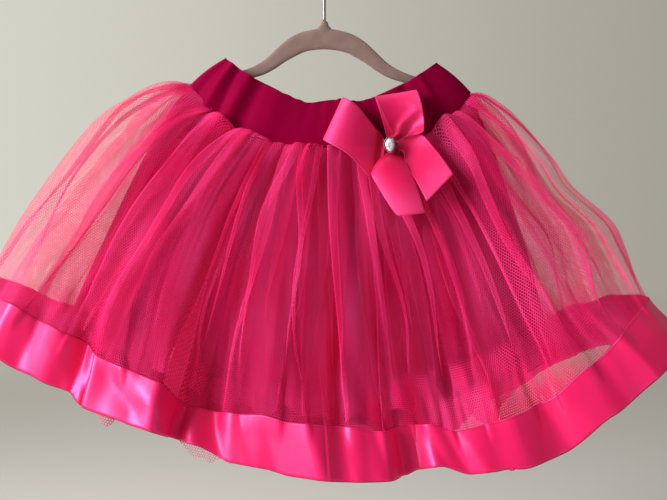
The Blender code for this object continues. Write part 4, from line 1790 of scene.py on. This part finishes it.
@dataclass
class Bow:
    """Two loops and two tails of ribbon, with a stone over their knot."""

    x: float = 0.0595
    z: float = -0.1770
    wall: float = 0.0004
    ribbon_width: float = 0.047
    across: int = 33  # points across a ribbon
    dent_bridged: float = 0.005  # how far off the dent under the band it passes
    crushed: float = 1.15  # a guess: the stated cut's area over the modelled one
    gem_sides: int = 12
    beads: int = 18
    bead_radius: float = 0.00075
    satin: Material = field(init=False)

    LEFT_LOOP = records(
        Station,
        (-0.0040, -0.0030, 0.0010, 0.0050, 0.0050), (-0.0085, -0.0070, 0.0025, 0.0150, 0.0040),
        (-0.0120, -0.0085, 0.0034, 0.0205, 0.0060), (-0.0150, -0.0075, 0.0036, 0.0214, 0.0090),
        (-0.0240, 0.0030, 0.0042, 0.0215, 0.0126, -0.0008),
        (-0.0341, 0.0141, 0.0055, 0.0213, 0.0170, -0.0008),
        (-0.0440, 0.0202, 0.0080, 0.0202, 0.0190, -0.0004),
        (-0.0500, 0.0236, 0.0088, 0.0198, 0.0150), (-0.0514, 0.0245, 0.0090, 0.0196, 0.0090),
        (-0.0490, 0.0230, 0.0088, 0.0194, 0.0052), (-0.0340, 0.0130, 0.0060, 0.0190, 0.0036),
        (-0.0180, 0.0020, 0.0035, 0.0140, 0.0032), (-0.0056, 0.0000, 0.0010, 0.0050, 0.0034),
    )
    RIGHT_LOOP = records(
        Station,
        (0.0030, 0.0030, 0.0040, -0.0005, 0.0070),
        (0.0075, 0.0062, 0.0085, 0.0008, 0.0095, 0.0010, 0.0, 0.0014, -0.6),
        (0.0159, 0.0110, 0.0140, 0.0006, 0.0125, 0.0024, 0.0, 0.0020, -0.55),
        (0.0144, 0.0190, 0.0169, -0.0010, 0.0155, 0.0038, 0.0, 0.0024, -0.16),
        (0.0125, 0.0268, 0.0187, -0.0018, 0.0168, 0.0042, 0.0, 0.0020, 0.33),
        (0.0100, 0.0355, 0.0197, 0.0000, 0.0170, 0.0038, 0.0, 0.0007, 0.72),
        (0.0078, 0.0425, 0.0196, 0.0022, 0.0156, 0.0032),
        (0.0063, 0.0466, 0.0194, 0.0031, 0.0124, 0.0036),
        (0.0062, 0.0474, 0.0193, 0.0031, 0.0086, 0.0026),
        (0.0068, 0.0445, 0.0190, 0.0030, 0.0056, 0.0010), (0.0090, 0.0300, 0.0170, 0.0010, 0.0040),
        (0.0060, 0.0140, 0.0100, 0.0000, 0.0032), (0.0015, 0.0052, 0.0040, -0.0010, 0.0034),
    )
    RIGHT_TAIL = records(
        Station,
        (0.0060, 0.0000, 0.0010, 0.0035, 0.0075), (0.0105, 0.0008, 0.0022, 0.0055, 0.0098, 0.0024),
        (0.0161, 0.0011, 0.0034, 0.0080, 0.0105, 0.0040),
        (0.0217, -0.0030, 0.0080, 0.0126, 0.0104, 0.0034),
        (0.0304, -0.0154, 0.0104, 0.0121, 0.0120, 0.0010),
        (0.0369, -0.0264, 0.0114, 0.0119, 0.0156), (0.0426, -0.0376, 0.0122, 0.0118, 0.0200),
    )
    LOWER_TAIL = records(
        Station,
        (0.0000, -0.0065, 0.0045, 0.0005, 0.0040),
        (-0.0008, -0.0130, 0.0120, 0.0030, 0.0048, -0.0010, 0.0040),
        (-0.0012, -0.0196, 0.0160, 0.0053, 0.0078, -0.0030, 0.0092),
        (-0.0008, -0.0225, 0.0162, 0.0054, 0.0104, -0.0044, 0.0090),
        (0.0018, -0.0275, 0.0160, 0.0055, 0.0112, -0.0050, 0.0068),
        (0.0062, -0.0360, 0.0154, 0.0054, 0.0112, -0.0046, 0.0036),
        (0.0120, -0.0492, 0.0136, 0.0044, 0.0116, -0.0030, 0.0010),
        (0.0170, -0.0608, 0.0122, 0.0012, 0.0124, -0.0018, 0.0000),
    )
    # Depth and size of the gem's rings of corners, and of the cup's outline.
    GEM = ((0.0, 0.75), (0.22, 0.97), (0.40, 1.0), (0.72, 0.80), (1.0, 0.50))
    CUP = (
        (0.0, 0.02), (0.0, 0.86), (0.25, 1.0), (0.85, 1.0),
        (1.15, 0.93), (1.1, 0.84), (0.8, 0.80), (0.8, 0.02),
    )

    def build(self, band: Piece) -> None:
        """Makes the ribbons, the knot and the stone in its setting.

        A ribbon's stated cut is worked out from its own modelled area. The model
        narrows. This cut is shorter than its middle line.
        The model narrows the ribbon towards the knot.

        Args:
            band: the waistband that the bow lies on; not used.
        """
        # knot sets where the satin's painted shade gathers and where its painted highlight at the ends
        # begins
        finish = SatinFinish(width=self.ribbon_width, gloss=0.75, roughness=0.42, knot=(self.x, self.z))
        self.satin = finish.material("bow_satin")
        front = self.skirt_front()
        ribbons = (
            ("bow_left_loop", self.LEFT_LOOP, 72),
            ("bow_right_loop", self.RIGHT_LOOP, 72),
            ("bow_right_tail", self.RIGHT_TAIL, 44),
            ("bow_lower_tail", self.LOWER_TAIL, 44),
        )
        for node, stations, rows in ribbons:
            obj = self.strip(node, stations, front, rows)
        self.knot()
        self.stone()
        self.setting()

    def skirt_front(self) -> BVHTree:
        """The skirt's smooth front, from above the band to half way down.

        Returns:
            The surface, for lines along Y to meet.
        """
        table = FormTable(NetLayers.OUTER, 0.0)
        angle = NetLayers.OUTER[3].angles(np.arange(table.TURNS) / table.TURNS)
        top, seam = BAND_TOP.points(angle), SEAM.points(angle)
        bridged = seam - (0, self.dent_bridged, 0)
        grid = np.concatenate([[2 * top - seam, top, bridged], table.points[[12, 24, 40, 60, 80, 100]]])
        index = np.arange(grid[..., 0].size).reshape(grid.shape[:2])
        corners = quads(np.concatenate([index, index[:, :1]], axis=1)).reshape(-1, 4)
        return BVHTree.FromPolygons(grid.reshape(-1, 3).tolist(), corners.tolist())

    def strip(self, node: str, stations: Sequence[Station], front: BVHTree, rows: int) -> Piece:
        """A ribbon through its stations, smooth along and across.

        Args:
            node: the CAD node that it stands for.
            stations: the places that it runs through.
            front: the skirt's front, which each point's height is measured from.
            rows: how many rows of points it has.

        Returns:
            The ribbon.
        """
        x, z, lift = Station.between(stations, rows).row(np.linspace(-1, 1, self.across))
        x, z = self.x + x, self.z + z

        def skirt_y(a: float, b: float) -> float:
            """Where a line along +Y meets the skirt's front."""
            return front.ray_cast(Vector((a, -1.0, b)), Vector((0.0, 1.0, 0.0)))[0].y

        points = stacked(x, np.vectorize(skirt_y)(x, z) - lift, z)
        step = np.linalg.norm(np.diff(points[:, self.across // 2], axis=0), axis=1)
        run = np.concatenate([[0], np.cumsum(step)])[:, None]
        cut = stacked(run, np.linspace(0, self.ribbon_width, self.across))
        obj = grid_mesh(f"{node}_satin", Surface(points, cut, False))
        add_wall(obj, self.wall, 0.0)
        return show(obj, self.satin, "ribbon", node)

    def knot(self) -> None:
        """The wound ribbon that the loops and tails come out of.

        Its radius is 0.55 + 0.45 sin(pi (0.8 level + 0.1)), wound with nine shallow ridges,
        and both ends are closed.
        """
        low, high, centre, half = node_box("bow_knot")
        turns = around(64)
        level = np.linspace(0, 1, 24)[:, None]
        ridges = 1 + 0.035 * np.cos(turns * 9 + level * 4)
        size = (0.55 + 0.45 * np.sin(math.pi * (level * 0.8 + 0.1))) * ridges
        size = size * np.where((level == 0) | (level == 1), 0.02, 1.0)
        x, z = centre[0] + half[0] * size * np.sin(turns), centre[2] + half[2] * size * np.cos(turns)
        points = stacked(x, low[1] + (high[1] - low[1]) * level, z)
        cut = stacked(np.arange(65) / 64 * TAU * half[0], level * self.ribbon_width)
        show(grid_mesh("bow_knot_satin", Surface(points, cut)), self.satin, "ribbon", "bow_knot")

    @staticmethod
    def pear(angle: Array) -> Array:
        """A pear's outline, as shares of its half width and height, turned a little.

        x = (1.12 - 0.17 (1 - cos a)) sin a and z = 1.1 cos a, turned by 0.3 radians.

        Args:
            angle: in radians, 0 at the pear's point.

        Returns:
            x, 0 and z in rows.
        """
        x, z = (1.12 - 0.17 * (1 - np.cos(angle))) * np.sin(angle), 1.10 * np.cos(angle)
        turn = (math.cos(0.3), math.sin(0.3))
        return stacked(x * turn[0] - z * turn[1], 0.0, x * turn[1] + z * turn[0])

    def stone(self) -> None:
        """A pear-cut stone: rings of corners, each half a step round from the last."""
        _, high, centre, half = node_box("stone")
        step = TAU / self.gem_sides
        rings = [
            (centre[0], high[1] - 2 * half[1] * depth, centre[2])
            + half * size * self.pear(around(self.gem_sides) + step / 3 + step / 2 * (n % 2))
            for n, (depth, size) in enumerate(self.GEM)
        ]
        i = np.arange(self.gem_sides)
        after, before = np.roll(i, -1), np.roll(i, 1)
        faces = [i.tolist(), (i + (len(rings) - 1) * self.gem_sides).tolist()]
        for n in range(len(rings) - 1):
            back, front = n * self.gem_sides, (n + 1) * self.gem_sides
            if n % 2:
                pair = (back + i, front + i, front + before), (back + i, back + after, front + i)
            else:
                pair = (back + i, back + after, front + i), (back + after, front + after, front + i)
            faces += [face for three in pair for face in np.stack(three, axis=-1).tolist()]
        mesh = bpy.data.meshes.new("stone_cut")
        mesh.from_pydata(np.concatenate(rings).tolist(), [], faces)
        turn_outwards(mesh)
        show(in_scene("stone_cut", mesh), StoneFinish().material("clear_stone"), "stone", "stone")

    def setting(self) -> None:
        """The metal cup, with beads round its rim that hold the stone."""
        low, high, centre, half = node_box("stone_setting")
        depth, size = np.array(self.CUP).T[..., None, None]
        middle = stacked(centre[0], high[1] - (high[1] - low[1]) * depth[..., 0], centre[2])
        cup = grid_mesh("stone_setting_cup", Surface(middle + half * size * self.pear(around(48))))
        metal = MetalFinish((0.26, 0.25, 0.26)).material("dark_silver")
        show(cup, metal, "setting", "stone_setting")
        rim = (centre[0], low[1] - 0.0004, centre[2])
        work = bmesh.new()
        for spot in rim + half * 0.93 * self.pear(around(self.beads) + math.pi / self.beads):
            made = bmesh.ops.create_icosphere(work, subdivisions=2, radius=self.bead_radius)
            bmesh.ops.translate(work, verts=made["verts"], vec=Vector(spot))
        mesh = bpy.data.meshes.new("stone_prongs")
        work.to_mesh(mesh)
        work.free()
        mesh.shade_smooth()
        show(in_scene("stone_prongs", mesh), metal, "setting")


# ---------------------------------------------------------------- hanger
@dataclass(frozen=True)
class BarSection:
    """The bar's outline at a distance from its middle."""

    x: float
    top: float
    bottom: float


@dataclass
class Hanger:
    """A flocked bar with drooping arms and a bent wire hook."""

    thickness: float = 0.0050
    centre_x: float = 0.0012
    lean: float = 0.022
    stations: int = 161
    wire: float = 0.003
    crook_inside: float = 0.017
    bend_radius: float = 0.008
    end_turn: float = math.radians(205)
    neck_top: float = -0.0612
    neck_half: float = 0.0023

    SECTIONS = records(
        BarSection,
        (0.0000, -0.0676, -0.0872), (0.0170, -0.0702, -0.0892), (0.0270, -0.0735, -0.0935),
        (0.0372, -0.0797, -0.0991), (0.0474, -0.0889, -0.1061), (0.0575, -0.0981, -0.1116),
        (0.0677, -0.1043, -0.1150), (0.0800, -0.1091, -0.1183), (0.1000, -0.1145, -0.1231),
        (0.1137, -0.1182, -0.1264), (0.1192, -0.1215, -0.1258),
    )
    ARM_END = (1e-5, 0.55, 0.85)  # how an arm's last sections shrink
    POWER = 2.9  # how square the sections are
    SIDES = 40
    WIRE_END = ((0.5, 0.8), (0.85, 0.45), (1.0, 1e-3))  # distance and radius, in radii

    def build(self) -> None:
        """Makes the bar, its neck and the hook."""
        self.bar()
        self.hook()

    def bar(self) -> None:
        """The bar: rounded sections carried along both arms, and the neck.

        A section is the oval |y / hy|^n + |z / hz|^n = 1, n being POWER.
        """
        right = np.array([(s.x, s.top, s.bottom) for s in self.SECTIONS])
        both = np.concatenate([right[:0:-1] * (-1, 1, 1), right])
        x, top, bottom = spline(both, self.stations).T[..., None]
        size = np.ones_like(x)
        size[:3, 0] = self.ARM_END
        size[-3:, 0] = self.ARM_END[::-1]
        waves = np.stack([np.cos(around(self.SIDES)), np.sin(around(self.SIDES))])
        y, z = np.sign(waves) * np.abs(waves) ** (2 / self.POWER)
        y, z = y * (self.thickness / 2) * size, z * ((top - bottom) / 2 * size)
        middle = (top + bottom) / 2 - self.lean * x
        bar = grid_mesh("hanger_bar_flocked", Surface(stacked(self.centre_x + x, y, middle + z)))
        turn_outwards(bar.data, self.neck())
        bar.data.shade_smooth()
        show(bar, FlockFinish().material("rose_flock"), "flock", "hanger_bar")

    def neck(self) -> bpy.types.Mesh:
        """The short tapered neck that the wire goes into.

        Returns:
            Its mesh, which is then joined to the bar's.
        """
        top, shoulder = self.neck_top, self.SECTIONS[0].top
        levels = (
            (top, 1e-5),
            (top, 0.0024),
            (top - 0.0008, 0.0030),
            (-0.0652, 0.0042),
            (shoulder, 0.0062),
            (shoulder - 0.004, 0.0100),
        )
        height, size = np.array(levels).T[..., None]
        angle = around(self.SIDES)
        points = stacked(size * np.sin(angle), np.minimum(size, self.neck_half) * np.cos(angle), height)
        holder = grid_mesh("neck", Surface(points))
        mesh = holder.data
        bpy.data.objects.remove(holder)
        return mesh

    def hook_route(self) -> Array:
        """The wire's middle line: stem, bend, then the crook round its centre.

        Returns:
            x and z of each of its points, from the bar up.
        """
        crook = self.crook_inside + self.wire / 2
        centre = -self.crook_inside
        bend_z = centre - math.sqrt(crook**2 + 2 * crook * self.bend_radius)
        meet = math.atan2(bend_z - centre, self.bend_radius)
        stem = stacked(0.0, np.linspace(self.neck_top + 0.0003, bend_z, 12))[:-1]
        angle = np.linspace(math.pi, meet + math.pi, 16)
        bend = stacked(self.bend_radius * (1 + np.cos(angle)), bend_z + self.bend_radius * np.sin(angle))
        angle = np.linspace(meet, self.end_turn, 80)[1:]
        arc = stacked(crook * np.cos(angle), centre + crook * np.sin(angle))
        return np.concatenate([stem, bend, arc])

    def hook(self) -> None:
        """The wire: a round section carried along its route, with a rounded end."""
        route = self.hook_route()
        ahead = np.gradient(route, axis=0)
        ahead /= np.linalg.norm(ahead, axis=1, keepdims=True)
        thick = self.wire / 2
        beyond, shrunk = np.array(self.WIRE_END).T[..., None] * thick
        radius = np.concatenate([[[1e-6]], np.full((len(route), 1), thick), shrunk])
        route = np.concatenate([route[:1], route, route[-1] + ahead[-1] * beyond])
        ahead = np.concatenate([ahead[:1], ahead, np.repeat(ahead[-1:], len(beyond), axis=0)])
        out = radius * np.cos(around(20))
        x, z = route[:, :1] - ahead[:, 1:] * out, route[:, 1:] + ahead[:, :1] * out
        obj = grid_mesh("hanger_hook_wire", Surface(stacked(x, radius * np.sin(around(20)), z)))
        turn_outwards(obj.data)
        show(obj, MetalFinish((0.39, 0.39, 0.37)).material("steel_wire"), "hook_wire", "hanger_hook")


# ---------------------------------------------------------------- studio
@dataclass(frozen=True)
class Softbox:
    """A square area light: its place, size, power, colour, spread in degrees and target."""

    name: str
    place: Place
    size: float
    power: float
    colour: Colour
    spread: float
    target: Place

    def build(self) -> None:
        """Makes the light, turned to its target."""
        data = bpy.data.lights.new(self.name, "AREA")
        data.size = self.size
        data.energy = self.power
        data.color = self.colour
        data.spread = math.radians(self.spread)
        light = in_scene(self.name, data)
        light.location = self.place
        light.rotation_euler = (Vector(self.target) - Vector(self.place)).to_track_quat("-Z", "Y").to_euler()


@dataclass
class Studio:
    """The camera, the pale floor and the soft lights."""

    camera_place: Place = (0.0086, -1.0, -0.1885)
    pitch: float = math.radians(5)
    lens: float = 56.83
    floor_z: float = -0.72

    LIGHTS = records(
        Softbox,
        ("window_light", (-1.6, -0.75, 0.55), 1.0, 14.2, (0.95, 0.96, 1.0), 80.0, (-0.26, -0.05, -0.22)),
        ("fill_light", (1.0, -2.1, 0.1), 2.0, 0.9, (1.0, 0.97, 0.95), 180.0, (0.0, 0.0, -0.28)),
        ("low_light", (0.8, -0.8, -0.60), 0.4, 0.65, (1.0, 0.96, 0.97), 110.0, (0.26, -0.10, -0.42)),
        ("card_light", (-1.25, -1.15, -0.48), 0.7, 1.3, (0.96, 0.95, 1.0), 90.0, (-0.12, -0.12, -0.40)),
    )

    def build(self) -> None:
        """Makes them all."""
        self.camera()
        self.floor()
        self.world()
        for light in self.LIGHTS:
            light.build()
        scene = bpy.context.scene
        scene.view_settings.view_transform = "Standard"
        scene.cycles.transparent_max_bounces = 64

    def camera(self) -> None:
        """A camera that looks a little down at the front."""
        data = bpy.data.cameras.new("camera")
        data.lens = self.lens
        data.sensor_width = 36.0
        camera = in_scene("camera", data)
        camera.location = self.camera_place
        camera.rotation_euler = (math.pi / 2 - self.pitch, 0.0, 0.0)
        bpy.context.scene.camera = camera

    def floor(self) -> None:
        """A round pale floor that fades out far from the skirt, with painted light: lighter at the left,
        where the window light falls, and darker at the right.
        """
        radius = np.array([0.001, 0.5, 1.0, 2.0, 4.0])[:, None]
        points = stacked(radius * np.cos(around(96)), -radius * np.sin(around(96)), self.floor_z)
        floor = grid_mesh("floor", Surface(points))
        shading = Shading("pale_floor", Base_Color=(0.66, 0.645, 0.61), Roughness=0.9)
        place = shading.place()
        far = shading.distance(shading.stretched(place, (1.0, 1.0, 0.0)), (0.0, 0.0, 0.0))
        # painted light on the floor: lighter on the left and darker on the right, as the window light falls
        # from the left
        right = shading.parts(place)[0].above(0.0, 1.0)
        tone = shading.blend(right, (0.75, 0.715, 0.67), (0.57, 0.55, 0.515))
        shading.feed(Alpha=1 - far.above(2.2, 1.5), Base_Color=tone)
        floor.data.materials.append(shading.material)

    def world(self) -> None:
        """A pale warm grey all round, lighter towards the left and darker in front."""
        world = bpy.data.worlds.new("studio")
        bpy.context.scene.world = world
        world.use_nodes = True
        sky = Nodes(world.node_tree)
        across, away, _ = sky.parts(sky.node("ShaderNodeTexCoord", {}, {}, "Generated"))
        walls = sky.blend(across.above(0.0, 0.42), (0.68, 0.67, 0.59), (0.36, 0.34, 0.29))
        whole = sky.blend(away.above(-0.1, 0.4), (0.20, 0.19, 0.19), walls)
        background = world.node_tree.nodes["Background"].inputs
        sky.set(background["Color"], whole)
        sky.set(background["Strength"], 1.0)


def corners(box: tuple[Vector, Vector]) -> list[list[float]]:
    """A box as plain lists, lowest corner first."""
    return [[float(value) for value in corner] for corner in box]


def main() -> None:
    """Builds the studio, the hanger, the skirt and its bow."""
    logging.basicConfig(level=logging.INFO, format="%(name)s: %(message)s")
    Studio().build()
    Hanger().build()
    band = Waistband().build()
    NetLayers().build(band)
    Lining().build(band)
    Bow().build(band)
    LOG.info("all pieces built")


if __name__ == "__main__":
    main()
